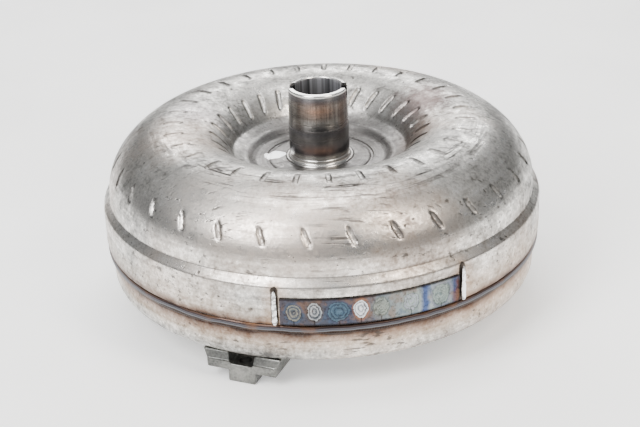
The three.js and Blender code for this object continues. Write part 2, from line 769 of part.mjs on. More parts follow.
/** The damper's input plate: spring trough, end stops and slots for the piston's tabs. */
function damperRetainer() {
  const wallTop = springHeight + coilRadius;
  const stopOuter = springCircle - seatGap - tangThickness / 2;
  const trough = revolve([
    at(retainerInner, retainerBottom),
    at(retainerOuter, retainerBottom),
    at(retainerOuter, wallTop),
    at(retainerOuter - retainerPlate, wallTop),
    at(retainerOuter - retainerPlate, retainerTop),
    at(retainerInner, retainerTop),
  ], wheelFacets);
  const span = 360 / springCount - springSpan - 2;
  const stops = gapAzimuths.map((azimuth) => sector(
    stopOuter - tangThickness, stopOuter, azimuth - span / 2, azimuth + span / 2,
    retainerTop - 1, springHeight + coilRadius / 2,
  ));
  const slot = new THREE.BoxGeometry(driveTabThickness + 1, 2 * driveTabHalfWidth + 1, 12);
  slot.translate(driveTabRadius + driveTabThickness / 2, 0, retainerBottom);
  const slots = gapAzimuths.map((azimuth) => solid(turned(slot, azimuth)));
  const body = solid(joined(trough, ...stops));
  return surface(slots.reduce((sum, tool) => sum.subtract(tool), body));
}

/** The centre line of one coil spring, wound round an arc about the axis. */
class ArcCoil extends THREE.Curve {
  constructor(middle) {
    super();
    this.middle = middle;
  }

  getPoint(t) {
    const wound = 2 * Math.PI * springTurns * t;
    const span = springSpan - 2 * THREE.MathUtils.radToDeg(wireRadius / springCircle);
    return polar(
      springCircle + coilRadius * Math.cos(wound),
      this.middle + (t - 0.5) * span,
      springHeight + coilRadius * Math.sin(wound),
    );
  }
}

function damperSpring(azimuth) {
  const wire = new THREE.Shape(around(4, 45).map((angle) => {
    const corner = polar(wireRadius, angle, 0);
    return at(corner.x, corner.y);
  }));
  return new THREE.ExtrudeGeometry(wire, { steps: 5 * springTurns, extrudePath: new ArcCoil(azimuth) });
}

/** The ring welded to the turbine, whose tangs stand between the springs. */
function turbineDriveRing() {
  const angles = spread(52, 34, 2);
  const collar = revolve([
    ...angles.map((angle) => under(turbineBowl, angle, -seatGap - turbineWall)),
    ...angles.reverse().map((angle) => under(turbineBowl, angle, -seatGap)),
  ], wheelFacets);
  const span = 360 / springCount - springSpan - 2;
  const tangInner = springCircle + seatGap;
  const reach = under(turbineBowl, angles[0], -seatGap - turbineWall / 2);
  const tangs = gapAzimuths.map((azimuth) => sector(
    tangInner, tangInner + tangThickness, azimuth - span / 2, azimuth + span / 2,
    springHeight - coilRadius, Math.min(reach.y, heightOnTurbine(tangInner) - seatGap - 0.5),
  ));
  return joined(collar, ...tangs);
}

/** Height of the turbine shell's outside over a radius beyond its crown. */
function heightOnTurbine(radius) {
  const share = (radius - turbineBowl.crown) / (turbineBowl.outer - turbineBowl.crown);
  return turbineBowl.mid + turbineBowl.rise * Math.sqrt(1 - share ** 2);
}

// ---- Thrust bearings ----------------------------------------------------------------------------
/** A needle cage: a flat ring with its radial needles standing out of both faces. */
function needleCage(bottom) {
  const cage = ring(bearingInner, bearingOuter, bottom + 0.9, bottom + needleDiameter - 0.9);
  const needle = new THREE.CylinderGeometry(needleDiameter / 2, needleDiameter / 2, 10, 6);
  needle.rotateZ(Math.PI / 2);
  needle.rotateX(Math.PI / 6);
  needle.translate((bearingInner + bearingOuter) / 2, 0, bottom + needleDiameter / 2);
  return joined(cage, ...around(needleCount).map((azimuth) => turned(needle, azimuth)));
}

function bearingPieces(name, bottom) {
  const cageBottom = bottom + raceThickness + seatGap;
  const upperBottom = cageBottom + needleDiameter + seatGap;
  return [
    [`${name}_lower_race`, ring(bearingInner, bearingOuter, bottom, bottom + raceThickness), 'bearingSteel'],
    [`${name}_needle_cage`, needleCage(cageBottom), 'bearingSteel'],
    [`${name}_upper_race`, ring(bearingInner, bearingOuter, upperBottom, upperBottom + raceThickness),
      'bearingSteel'],
  ];
}

// ---- Stator and one-way clutch ------------------------------------------------------------------
/** The cast stator: hub, cambered vanes and outer shroud in one piece. */
function statorWheel() {
  const hubBottom = lowerPlateBottom + seatGap;
  const hubTop = upperBearingBottom + bearingHeight / 2;
  const hub = ring(statorHubInner, statorHubOuter, hubBottom, hubTop);
  const shroudMiddle = (splitHeight + hubTop) / 2 - 2;
  const shroud = ring(shroudRadius, shroudRadius + shroudWall, shroudMiddle - 9, shroudMiddle + 9);
  const section = (radius, bottom, top) => {
    const camber = (t) => 9 * (t - 0.35) ** 2 + 5 * t;
    const outline = spread(0, 1, 2).map((t) => [t, camber(t), Math.sin(Math.PI * (0.12 + 0.76 * t))]);
    const side = (sign) => outline.map(([t, lean, thick]) => polar(
      radius,
      THREE.MathUtils.radToDeg((lean * 1.6 + sign * thick * statorVaneThickness / 2) / radius),
      THREE.MathUtils.lerp(bottom, top, t),
    ));
    return [...side(1), ...side(-1).reverse()];
  };
  const vane = loft([
    section(statorHubOuter - 1.5, hubBottom + 3, hubTop - 1),
    section(shroudRadius + shroudWall / 2, shroudMiddle - 7.5, shroudMiddle + 7.5),
  ]);
  return joined(hub, shroud, ...around(statorVaneCount).map((azimuth) => turned(vane, azimuth)));
}

const camPocket = rollerCircle + rollerRadius + camClearance;
const pocketPitch = 360 / rollerCount;
const pocketStart = -0.62 * pocketPitch + 9;
const pocketEnd = 11;

/** The clutch's outer race: a ramped pocket for each roller and its spring. */
function clutchCam() {
  const land = innerRaceRadius + 0.9;
  const outline = around(rollerCount).flatMap((azimuth) => [
    polar(land, azimuth + pocketStart, 0),
    polar(camPocket, azimuth + pocketStart, 0),
    polar(camPocket, azimuth - 4, 0),
    polar(camPocket - camRamp / 3, azimuth + 5, 0),
    polar(camPocket - camRamp, azimuth + pocketEnd, 0),
    polar(land, azimuth + pocketEnd, 0),
    polar(land, azimuth + (pocketEnd + pocketStart + pocketPitch) / 2, 0),
  ]);
  const rim = around(hubFacets, -90).map((azimuth) => polar(camOuterRadius, azimuth, 0));
  const shape = new THREE.Shape(rim.map((corner) => at(corner.x, corner.y)));
  shape.holes.push(new THREE.Path(outline.map((corner) => at(corner.x, corner.y))));
  return plate(shape, camBottom, camTop);
}

function clutchInnerRace() {
  const bottom = lowerPlateBottom + seatGap;
  const top = upperBearingBottom - 2 * seatGap;
  const body = ring(0, innerRaceRadius, bottom, top);
  return cut(body, plate(splineOutline(statorSplineRadius), bottom - 5, top + 5));
}

function clutchRoller(azimuth) {
  const roller = new THREE.CylinderGeometry(rollerRadius, rollerRadius, camTop - camBottom - 1, 12);
  roller.rotateX(Math.PI / 2);
  roller.translate(rollerCircle, 0, (camBottom + camTop) / 2);
  return turned(roller, azimuth);
}

/** A folded leaf spring that pushes its roller up the ramp. */
function clutchSpring(azimuth) {
  const from = pocketStart + 1.2;
  const rollerHalf = THREE.MathUtils.radToDeg(rollerRadius / rollerCircle);
  const folds = spread(from, -rollerHalf - 1.4, 4);
  const leaf = 0.7;
  const reach = rollerRadius - 1.8;
  const side = (offset) => folds.map((angle, k) => polar(
    rollerCircle + (k % 2 ? reach : -reach) + offset, angle, 0,
  ));
  const outline = [...side(leaf), ...side(-leaf).reverse()];
  const shape = new THREE.Shape(outline.map((corner) => at(corner.x, corner.y)));
  return turned(plate(shape, camBottom + 2, camTop - 2), azimuth);
}

function sidePlateRing(bottom) {
  return ring(innerRaceRadius + seatGap + 0.4, camOuterRadius - seatGap, bottom, bottom + sidePlate);
}

// ---- Assembly -----------------------------------------------------------------------------------
const stripMiddle = [stripStart - stripBeadOffset, stripEnd + stripBeadOffset];
const numbered = (name, angles, build, finish) => angles.map((angle, k) => [
  `${name}_${k + 1}`, build(angle), finish,
]);

const lug = driveLug();
const pieces = [
  ['impeller_shell', impellerShell(), 'shellSteel'],
  ['impeller_vanes', impellerVanes(), 'vaneSteel'],
  ['impeller_hub', impellerHub(), 'groundSteel'],
  ['front_cover', frontCover(), 'shellSteel'],
  ['crank_pilot', crankPilot(), 'groundSteel'],
  ['seam_weld', seamWeld(), 'weldBead'],
  ...numbered('drive_lug', around(lugCount, lugAzimuth), (azimuth) => turned(lug, azimuth), 'forgedSteel'),
  ['balance_strip', balanceStrip(), 'temperedStrip'],
  ...numbered('strip_weld', stripMiddle, stripBead, 'weldBead'),
  ['turbine_shell', drilledTurbineShell(), 'vaneSteel'],
  ['turbine_vanes', turbineVanes(), 'vaneSteel'],
  ['turbine_hub', turbineHub(), 'groundSteel'],
  ['turbine_drive_ring', turbineDriveRing(), 'vaneSteel'],
  ...numbered('turbine_rivet', around(rivetCount), rivet, 'forgedSteel'),
  ['lockup_piston', lockupPiston(), 'vaneSteel'],
  ['friction_lining', ring(liningInner, liningOuter, liningBottom, liningBottom + liningThickness,
    wheelFacets), 'friction'],
  ['piston_seal_ring', ring(turbineBarrelRadius - sealGrooveDepth + seatGap, turbineBarrelRadius + 0.1,
    sealBottom, sealBottom + sealWidth), 'sealPolymer'],
  ['damper_retainer', damperRetainer(), 'vaneSteel'],
  ...numbered('damper_spring', springAzimuths, damperSpring, 'springSteel'),
  ['front_thrust_washer', ring(washerInner, washerOuter, dishFloor + seatGap,
    dishFloor + seatGap + washerThickness), 'bronze'],
  ...bearingPieces('turbine_bearing', lowerBearingBottom),
  ...bearingPieces('stator_bearing', upperBearingBottom),
  ['stator_wheel', statorWheel(), 'castAluminium'],
  ['stator_lower_plate', sidePlateRing(lowerPlateBottom), 'bronze'],
  ['stator_upper_plate', sidePlateRing(upperPlateBottom), 'bronze'],
  ['clutch_cam', clutchCam(), 'bearingSteel'],
  ['clutch_inner_race', clutchInnerRace(), 'bearingSteel'],
  ...numbered('clutch_roller', around(rollerCount), clutchRoller, 'bearingSteel'),
  ...numbered('clutch_spring', around(rollerCount), clutchSpring, 'springSteel'),
];

const group = new THREE.Group();
for (const [name, geometry, finish] of pieces) {
  const mesh = new THREE.Mesh(geometry, new THREE.MeshStandardMaterial(finishes[finish]));
  mesh.name = name;
  group.add(mesh);
}

export default group;
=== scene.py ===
"""Torque converter: the looks of a welded steel converter, standing on its drive pads.

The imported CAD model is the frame. The welded housing that shows from outside is modelled again
finely, over the CAD pieces it stands for; the wheels and clutches inside keep their CAD shapes and
get their own finishes. Metres, +Z along the axis towards the pump drive hub.
"""

import json
import logging
import math
from dataclasses import dataclass, field
from enum import Enum

import bpy
import numpy as np
from mathutils import Matrix, Vector


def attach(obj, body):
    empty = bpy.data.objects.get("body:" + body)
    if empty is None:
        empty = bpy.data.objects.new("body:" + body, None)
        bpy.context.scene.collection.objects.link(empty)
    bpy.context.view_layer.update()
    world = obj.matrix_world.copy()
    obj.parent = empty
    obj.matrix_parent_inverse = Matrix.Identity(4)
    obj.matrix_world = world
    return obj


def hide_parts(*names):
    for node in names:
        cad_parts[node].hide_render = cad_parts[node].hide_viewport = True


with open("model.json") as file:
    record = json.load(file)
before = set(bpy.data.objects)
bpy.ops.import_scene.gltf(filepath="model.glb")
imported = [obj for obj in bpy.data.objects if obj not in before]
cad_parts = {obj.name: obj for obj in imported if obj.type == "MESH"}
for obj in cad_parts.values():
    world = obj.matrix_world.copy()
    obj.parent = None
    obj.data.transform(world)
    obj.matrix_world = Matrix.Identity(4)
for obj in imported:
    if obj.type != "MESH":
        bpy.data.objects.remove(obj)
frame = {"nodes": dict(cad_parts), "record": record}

log = logging.getLogger("torque_converter")

MM = 0.001
Point = tuple[float, float]
Socket = bpy.types.NodeSocket


# ---- Modelling ----------------------------------------------------------------------------------


def deselect() -> None:
    """Leaves nothing selected, so that an operator acts only on what follows."""
    bpy.ops.object.select_all(action="DESELECT")


def activate(piece: bpy.types.Object) -> None:
    """Makes one piece the only selected and the active one.

    Args:
        piece: The object to select.
    """
    deselect()
    piece.select_set(True)
    bpy.context.view_layer.objects.active = piece


def settle(piece: bpy.types.Object) -> bpy.types.Object:
    """Writes a piece's place, turn and scale into its mesh.

    Args:
        piece: The object to settle.

    Returns:
        The same object, at the origin.
    """
    activate(piece)
    bpy.ops.object.transform_apply(location=True, rotation=True, scale=True)
    return piece


def arc(centre: Point, radius: float, start: float, end: float, steps: int) -> list[Point]:
    """Points along an arc in the (radius, height) plane.

    Args:
        centre: The arc's centre.
        radius: Its radius.
        start: First angle in degrees.
        end: Last angle in degrees.
        steps: How many steps lie between them.

    Returns:
        The points, both ends included.
    """
    return [
        (centre[0] + radius * math.cos(math.radians(a)), centre[1] + radius * math.sin(math.radians(a)))
        for a in np.linspace(start, end, steps + 1)
    ]


def s_run(a: Point, b: Point, steps: int) -> list[Point]:
    """An S-shaped rise between two points, level at both ends.

    Args:
        a: Where it starts.
        b: Where it ends.
        steps: How many steps it takes.

    Returns:
        The points, both ends included.
    """
    return [(a[0] + (b[0] - a[0]) * t, a[1] + (b[1] - a[1]) * (1 - math.cos(math.pi * t)) / 2)
            for t in np.linspace(0, 1, steps + 1)]


def start_outline(name: str, places: list[tuple[float, float, float]], filled: bool) -> bpy.types.Object:
    """Shapes a ring of vertices into an outline, and leaves it selected in edit mode.

    Args:
        name: The piece's name.
        places: The outline's corners in millimetres.
        filled: Whether a face fills it.

    Returns:
        The new piece.
    """
    deselect()
    bpy.ops.mesh.primitive_circle_add(vertices=len(places), radius=1,
                                      fill_type="NGON" if filled else "NOTHING")
    piece = bpy.context.object
    piece.name = piece.data.name = name
    for vertex, place in zip(piece.data.vertices, places):
        vertex.co = tuple(value * MM for value in place)
    bpy.ops.object.mode_set(mode="EDIT")
    bpy.ops.mesh.select_all(action="SELECT")
    return piece


def close_piece(piece: bpy.types.Object) -> bpy.types.Object:
    """Turns a piece's faces outwards and leaves edit mode."""
    bpy.ops.mesh.select_all(action="SELECT")
    bpy.ops.mesh.normals_make_consistent(inside=False)
    bpy.ops.object.mode_set(mode="OBJECT")
    return piece


def spin_profile(name: str, profile: list[Point], steps: int, degrees: float = 360) -> bpy.types.Object:
    """Spins a closed profile round the axis.

    Args:
        name: The piece's name.
        profile: Closed outline as (radius, height) in millimetres.
        steps: Steps in the turn.
        degrees: How far it turns; less than a full turn has an end face at each end.

    Returns:
        The closed piece, with its faces pointing out.
    """
    whole = degrees == 360
    piece = start_outline(name, [(radius, 0, height) for radius, height in profile], not whole)
    bpy.ops.mesh.spin(steps=steps, angle=math.radians(degrees), center=(0, 0, 0), axis=(0, 0, 1))
    if whole:
        bpy.ops.mesh.select_all(action="SELECT")
        bpy.ops.mesh.remove_doubles(threshold=1e-6)
    return close_piece(piece)


def raise_block(name: str, outline: list[Point], depth: float) -> bpy.types.Object:
    """Fills an outline and extrudes it.

    Args:
        name: The piece's name.
        outline: Corners (across, up) in millimetres.
        depth: How far the block reaches along +X, in millimetres.

    Returns:
        A closed block whose back face lies in the plane X = 0.
    """
    piece = start_outline(name, [(0, across, up) for across, up in outline], True)
    bpy.ops.mesh.extrude_region_move(TRANSFORM_OT_translate={"value": (depth * MM, 0, 0)})
    return close_piece(piece)


def finish_modifier(piece: bpy.types.Object, kind: str, **settings: object) -> None:
    """Adds a modifier with its settings and applies it.

    Args:
        piece: The object to change.
        kind: The modifier's type.
        settings: Its properties.
    """
    activate(piece)
    modifier = piece.modifiers.new(kind.title(), kind)
    for key, value in settings.items():
        setattr(modifier, key, value)
    bpy.ops.object.modifier_apply(modifier=modifier.name)


def cut_away(piece: bpy.types.Object, tool: bpy.types.Object) -> None:
    """Cuts a tool's shape out of a piece and removes the tool.

    Args:
        piece: What is cut.
        tool: The cutter.
    """
    finish_modifier(piece, "BOOLEAN", object=tool, operation="DIFFERENCE", solver="EXACT")
    bpy.data.objects.remove(tool)


def sculpt(piece: bpy.types.Object, depth: np.ndarray) -> None:
    """Moves a surface along its normals by a depth for each vertex.

    Args:
        piece: The object to change.
        depth: Metres outwards for each vertex, negative inwards.
    """
    reach = float(np.abs(depth).max())
    for sign, label in ((1, "raised"), (-1, "sunk")):
        share = np.clip(sign * depth / reach, 0, 1)
        if not share.any():
            continue
        group = piece.vertex_groups.new(name=label)
        for index in np.nonzero(share)[0]:
            group.add([int(index)], float(share[index]), "REPLACE")
        finish_modifier(piece, "DISPLACE", strength=sign * reach, mid_level=0, direction="NORMAL",
                        vertex_group=label)
    piece.vertex_groups.clear()


def vertex_places(piece: bpy.types.Object) -> np.ndarray:
    """A piece's vertices as an array of metres."""
    flat = np.empty(3 * len(piece.data.vertices))
    piece.data.vertices.foreach_get("co", flat)
    return flat.reshape(-1, 3)


def shade(piece: bpy.types.Object, angle: float = 35) -> None:
    """Shades a piece smooth, but for edges sharper than an angle in degrees."""
    activate(piece)
    bpy.ops.object.shade_smooth_by_angle(angle=math.radians(angle))


def stand_in(piece: bpy.types.Object, node: str, body: str, angle: float = 30) -> bpy.types.Object:
    """Shades a piece and puts it in the place of a CAD node.

    Args:
        piece: The fine piece.
        node: The CAD node that it stands for.
        body: The body that it rides on.
        angle: Edges sharper than this stay sharp, in degrees.

    Returns:
        The piece.
    """
    shade(piece, angle)
    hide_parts(node)
    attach(piece, body)
    return piece


def turn_about_axis(piece: bpy.types.Object, degrees: float) -> bpy.types.Object:
    """Turns a piece about the converter's axis and settles it.

    Args:
        piece: The object to turn.
        degrees: How far, by the right hand.

    Returns:
        The same object.
    """
    piece.matrix_world = Matrix.Rotation(math.radians(degrees), 4, "Z") @ piece.matrix_world
    return settle(piece)


# ---- Materials ----------------------------------------------------------------------------------


def linear(code: str) -> tuple[float, float, float, float]:
    """Turns an sRGB hex colour into Blender's linear colour.

    Args:
        code: Six hex digits.

    Returns:
        Linear red, green, blue and an alpha of one.
    """
    parts = [int(code[i:i + 2], 16) / 255 for i in (0, 2, 4)]
    low = [c / 12.92 if c <= 0.04045 else ((c + 0.055) / 1.055) ** 2.4 for c in parts]
    return (low[0], low[1], low[2], 1.0)


class Weave:
    """A material's node tree while it is being wired."""

    def __init__(self, name: str) -> None:
        """Starts an empty material.

        Args:
            name: The material's name.
        """
        self.material = bpy.data.materials.new(name)
        self.material.use_nodes = True
        self.tree = self.material.node_tree
        self.tree.nodes.clear()

    def add(self, kind: str, out: int | str = 0, stops: list | None = None, **parts: object) -> Socket:
        """Adds a node, sets its properties and sockets, and links what it is given.

        Args:
            kind: The node's class, without its ShaderNode prefix.
            out: Which output to hand back.
            stops: A colour ramp's stops, as (place, hex colour or grey).
            parts: Properties by name, or sockets by name or as in0, in1 and so on.

        Returns:
            The chosen output.
        """
        node = self.tree.nodes.new("ShaderNode" + kind)
        for key, value in parts.items():
            if key in node.bl_rna.properties:
                setattr(node, key, value)
        for key, value in parts.items():
            if key in node.bl_rna.properties:
                continue
            label = key.replace("_", " ")
            socket = node.inputs[int(key[2:])] if key[2:].isdigit() else node.inputs[label]
            if isinstance(value, bpy.types.NodeSocket):
                self.tree.links.new(value, socket)
            else:
                socket.default_value = value
        if stops:
            ramp = node.color_ramp
            while len(ramp.elements) < len(stops):
                ramp.elements.new(0.5)
            for element, (place, tone) in zip(ramp.elements, stops):
                element.position = place
                element.color = linear(tone) if isinstance(tone, str) else (tone, tone, tone, 1)
        return node.outputs[out]

    def math(self, operation: str, a: Socket | float, b: Socket | float = 0.0) -> Socket:
        """Works out one sum of two values."""
        return self.add("Math", operation=operation, in0=a, in1=b)

    def times(self, a: Socket | float, b: Socket | float) -> Socket:
        """Multiplies two values."""
        return self.math("MULTIPLY", a, b)

    def about_zero(self, noise: Socket, reach: float) -> Socket:
        """Turns noise into a measure that wanders about zero."""
        return self.times(self.math("SUBTRACT", noise, 0.5), reach)

    def noise(self, at: Socket, scale: float, detail: float, rough: float = 0.5) -> Socket:
        """Reads noise at a vector."""
        return self.add("TexNoise", Vector=at, Scale=scale, Detail=detail, Roughness=rough)

    def span(self, value: Socket, low: float, high: float, start: float = 0.0, end: float = 1.0) -> Socket:
        """Maps a value from one range to another, held at both ends."""
        return self.add("MapRange", Value=value, From_Min=low, From_Max=high, To_Min=start, To_Max=end)

    def ramp(self, value: Socket, stops: list) -> Socket:
        """Looks a value up in a colour ramp."""
        return self.add("ValToRGB", Fac=value, stops=stops)

    def mix(self, share: Socket, base: Socket, over: Socket | str) -> Socket:
        """Mixes a colour over another; a hex code stands for a plain colour."""
        if isinstance(over, str):
            over = linear(over)
        return self.add("MixRGB", Fac=share, Color1=base, Color2=over)

    def lay(self, base: Socket, amount: Socket, share: float, tone: str) -> Socket:
        """Lays a tone over a colour, by a share of an amount."""
        return self.mix(self.times(amount, share), base, tone)

    def bump(self, height: Socket, strength: float, depth: float) -> Socket:
        """Turns a height into a normal."""
        return self.add("Bump", Height=height, Strength=strength, Distance=depth)

    def close(self, colour: Socket, rough: Socket | float, normal: Socket | None = None,
              metal: Socket | float = 1.0, **more: object) -> bpy.types.Material:
        """Wires a Principled shader and the output.

        Args:
            colour: Base colour.
            rough: Roughness.
            normal: Normal, if the surface has relief.
            metal: Metallic share.
            more: Other sockets of the shader.

        Returns:
            The material.
        """
        if normal is not None:
            more["Normal"] = normal
        shader = self.add("BsdfPrincipled", Base_Color=colour, Metallic=metal, Roughness=rough, **more)
        node = self.tree.nodes.new("ShaderNodeOutputMaterial")
        self.tree.links.new(shader, node.inputs["Surface"])
        return self.material


@dataclass
class Places:
    """Where a point is on a turned piece, as sockets: radius, height, and vectors that go round."""

    weave: Weave
    point: Socket = field(init=False)
    height: Socket = field(init=False)
    radius: Socket = field(init=False)
    heading: Socket = field(init=False)
    azimuth: Socket = field(init=False)

    def __post_init__(self) -> None:
        """Splits the object coordinates into height, radius and heading."""
        weave = self.weave
        self.point = weave.add("TexCoord", "Object")
        across, ahead, self.height = (weave.add("SeparateXYZ", axis, Vector=self.point) for axis in "XYZ")
        flat = weave.add("CombineXYZ", X=across, Y=ahead)
        self.radius = weave.add("VectorMath", "Value", operation="LENGTH", in0=flat)
        self.heading = weave.add("VectorMath", operation="NORMALIZE", in0=flat)
        self.azimuth = weave.math("ARCTAN2", ahead, across)

    def round_and_along(self, around: float, along: float, along_by: Socket) -> Socket:
        """A vector that turns with the heading and runs with a second measure.

        Args:
            around: Pattern units per radian round the axis.
            along: Pattern units per metre of the second measure.
            along_by: The second measure.

        Returns:
            The vector.
        """
        weave = self.weave
        turned = weave.add("VectorMath", operation="SCALE", in0=self.heading, Scale=around)
        lifted = weave.add("CombineXYZ", Z=weave.times(along_by, along))
        return weave.add("VectorMath", operation="ADD", in0=turned, in1=lifted)


class Surface(Enum):
    """How a steel surface was left by its last operation."""

    DRAWN = "drawn"
    TURNED = "turned"
    FORGED = "forged"


@dataclass(frozen=True)
class PlainMetal:
    """A bare metal whose tone and polish wander a little."""

    name: str
    light: str
    dark: str
    roughness: float
    grain_mm: float = 1.5
    bump: float = 0.15
    surface: Surface = Surface.DRAWN

    def build(self) -> bpy.types.Material:
        """Wires the material.

        Returns:
            The material.
        """
        weave = Weave(self.name)
        places = Places(weave)
        if self.surface is Surface.TURNED:
            vector = places.round_and_along(2.0, 1 / (self.grain_mm * MM), places.radius)
            grain = weave.noise(vector, 1.0, 4.0)
        else:
            grain = weave.noise(places.point, 1 / (self.grain_mm * MM), 5.0)
        cloud = weave.noise(places.point, 60.0, 4.0)
        tone = weave.math("ADD", weave.times(grain, 0.4), weave.times(cloud, 0.6))
        colour = weave.ramp(tone, [(0.35, self.dark), (0.65, self.light)])
        rough = weave.span(tone, 0.3, 0.7, self.roughness * 1.25, self.roughness * 0.8)
        normal = weave.bump(grain, self.bump, 0.0003)
        return weave.close(colour, rough, normal)


@dataclass(frozen=True)
class StainOrPaintedLight:
    """A patch of the shell with another tone, placed in millimetres: some are real stains, some painted
    light.
    """

    place: tuple[float, float, float]
    reach: float
    tone: str
    strength: float
    ragged: float = 1.0


@dataclass(frozen=True)
class DrawnSteel:
    """Bare deep-drawn steel: satin, slightly warm, with die streaks, scratches, rubs and nicks.

    The welds leave heat tints in bands round the seam, which follow the height, with painted shade at the
    foot of the seam bead, and dark toes round the strip's end beads. The floor of the bowl is turned, so
    its grain runs round the axis. Painted shade darkens the bowl and the walls of the dents, two cream
    patches are painted light on the lit near flank, and a glowing white patch on the bowl floor is a
    painted highlight.
    """

    name: str = "drawn_mild_steel_bare"
    seam_band_low: float = 28 * MM
    seam_band_high: float = 68 * MM
    crown_radius: float = 101.8 * MM
    crown_height: float = 132 * MM
    turned_radius: float = 50 * MM
    # Painted shade: the radii over which the bowl is darkened.
    bowl_shade_fade: Point = (78 * MM, 52 * MM)
    scuff_inner: Point = (-2 * MM, 6 * MM)
    scuff_outer: Point = (31 * MM, 15 * MM)
    scuff_drop: Point = (22 * MM, 14 * MM)
    scuff_runs: tuple[tuple[float, float, float], ...] = (
        (3.0, 340.0, 0.53), (7.0, 250.0, 0.57), (1.6, 480.0, 0.52))
    scratch_turns: tuple[Point, ...] = ((0.3, 0.1), (-0.5, 0.3), (1.3, -0.3), (0.05, -0.15))
    scratch_stretch: tuple[float, float, float] = (14.0, 340.0, 270.0)
    pit_sizes: tuple[tuple[float, float, float], ...] = ((110.0, 0.13, 0.5), (260.0, 0.16, 0.56))
    halo_reach: Point = (10.5 * MM, 3.5 * MM)
    toe_reach: Point = (3 * MM, 2.2 * MM)
    bead_azimuths: tuple[float, float] = (-102.1, -55.2)
    bead_radius: float = 156 * MM
    bead_height: float = 65.2 * MM
    bead_half_height: float = 12.6 * MM
    # Brown and purple-brown patches on the inner flank are stains; the grey ones darken the flank in places.
    stains_and_painted_light: tuple[StainOrPaintedLight, ...] = (
        StainOrPaintedLight((74, 34, 128), 30, "77635F", 0.75),
        StainOrPaintedLight((66, -6, 118), 24, "86695A", 0.6),
        StainOrPaintedLight((-88, 22, 131), 26, "8E8486", 0.4),
        StainOrPaintedLight((60, -122, 105), 34, "8A7F78", 0.45),
        # Painted light: these two cream patches make the near flank lighter where it is lit.
        StainOrPaintedLight((-20, -140, 112), 50, "F2DFD0", 0.5, 0.4),
        StainOrPaintedLight((-70, -112, 118), 45, "EFE4DA", 0.45, 0.4),
        StainOrPaintedLight((100, -95, 84), 22, "6F6862", 0.5),
        StainOrPaintedLight((-112, -88, 92), 30, "8B8A8A", 0.4),
    )
    # Painted highlight: a glowing white patch on the bowl floor, left of the hub.
    painted_glow_highlight: StainOrPaintedLight = StainOrPaintedLight((-33, 3, 102.6), 12.0, "FFFFFF", 1.0, 2.2)

    def build(self) -> bpy.types.Material:
        """Wires the material.

        Returns:
            The material.
        """
        weave = Weave(self.name)
        places = Places(weave)
        point = places.point
        cloud = weave.noise(point, 16.0, 5.0, 0.6)
        mottle = weave.noise(point, 120.0, 6.0, 0.7)
        grain = weave.noise(point, 430.0, 4.0, 0.7)
        streak = weave.noise(places.round_and_along(2.2, 420.0, places.height), 1.0, 5.0)
        tone = self._blend(weave, ((cloud, 0.26), (mottle, 0.34), (grain, 0.26), (streak, 0.14)))
        base = weave.ramp(tone, [(0.41, "605E5C"), (0.465, "94928E"), (0.53, "C2BFBA"), (0.6, "F2EFEA")])
        warm = weave.noise(point, 10.0, 4.0)
        warm = weave.span(warm, 0.48, 0.7)
        base = weave.lay(base, warm, 0.4, "D2B49C")
        # Stains, and cream patches of painted light on the lit near flank.
        for stain_or_light in self.stains_and_painted_light:
            base = weave.lay(base, self._patch(weave, point, mottle, stain_or_light), stain_or_light.strength, stain_or_light.tone)
        # Painted shade: the bowl inside the crown darkens from 78 mm radius, fully by 52 mm.
        bowl = weave.span(weave.math("ADD", places.radius, weave.about_zero(cloud, 0.03)), *self.bowl_shade_fade)
        base = weave.lay(base, bowl, 0.85, "605E5D")
        turned = self._turned(weave, places)
        base = weave.lay(base, turned, 0.8, "4F4D4B")
        # Heat tints round the seam, with painted shade at the foot of the seam bead.
        base = self._tints_and_shade(weave, places, base, mottle)
        scuff = self._scuffs(weave, places)
        base = weave.lay(base, scuff, 0.95, "2F2C2A")
        scratch = self._scratches(weave, point)
        base = weave.lay(base, scratch, 0.75, "3F3B38")
        pits = self._pits(weave, point)
        base = weave.lay(base, pits, 0.85, "35312F")
        base = self._toes(weave, places, base, mottle)
        dent = weave.add("Attribute", "Fac", attribute_name="dent")
        # Painted shade on the walls of the dents: darkest near their edges, none on their floors.
        rim = weave.ramp(dent, [(0.0, 0.0), (0.08, 1.0), (0.4, 0.6), (0.75, 0.0)])
        base = weave.lay(base, rim, 0.75, "4A4745")
        # Painted highlight: the white patch is less metallic and glows, by the emission below.
        painted_glow_highlight = weave.span(self._patch(weave, point, cloud, self.painted_glow_highlight), 0.42, 0.5)
        base = weave.lay(base, painted_glow_highlight, self.painted_glow_highlight.strength, self.painted_glow_highlight.tone)
        rough = weave.span(tone, 0.4, 0.6, 0.52, 0.22)
        rough = weave.math("ADD", rough, weave.times(scuff, 0.15))
        relief = self._blend(weave, ((mottle, 0.45), (streak, 0.3), (grain, 0.25), (pits, -0.6),
                                     (scuff, -0.35), (scratch, -0.3), (turned, -0.25)))
        normal = weave.bump(relief, 0.42, 0.0007)
        metal = weave.math("SUBTRACT", 1.0, weave.times(painted_glow_highlight, 0.9))
        return weave.close(base, rough, normal, metal=metal, Emission_Color=linear("FFFFFF"),
                           Emission_Strength=weave.times(painted_glow_highlight, 0.9))

    def _blend(self, weave: Weave, parts: tuple[tuple[Socket, float], ...]) -> Socket:
        """Adds up values by their shares.

        Args:
            weave: The material being wired.
            parts: Values and shares.

        Returns:
            The sum.
        """
        total: Socket | float = 0.0
        for value, share in parts:
            total = weave.add("Math", operation="MULTIPLY_ADD", in0=value, in1=share, in2=total)
        return total

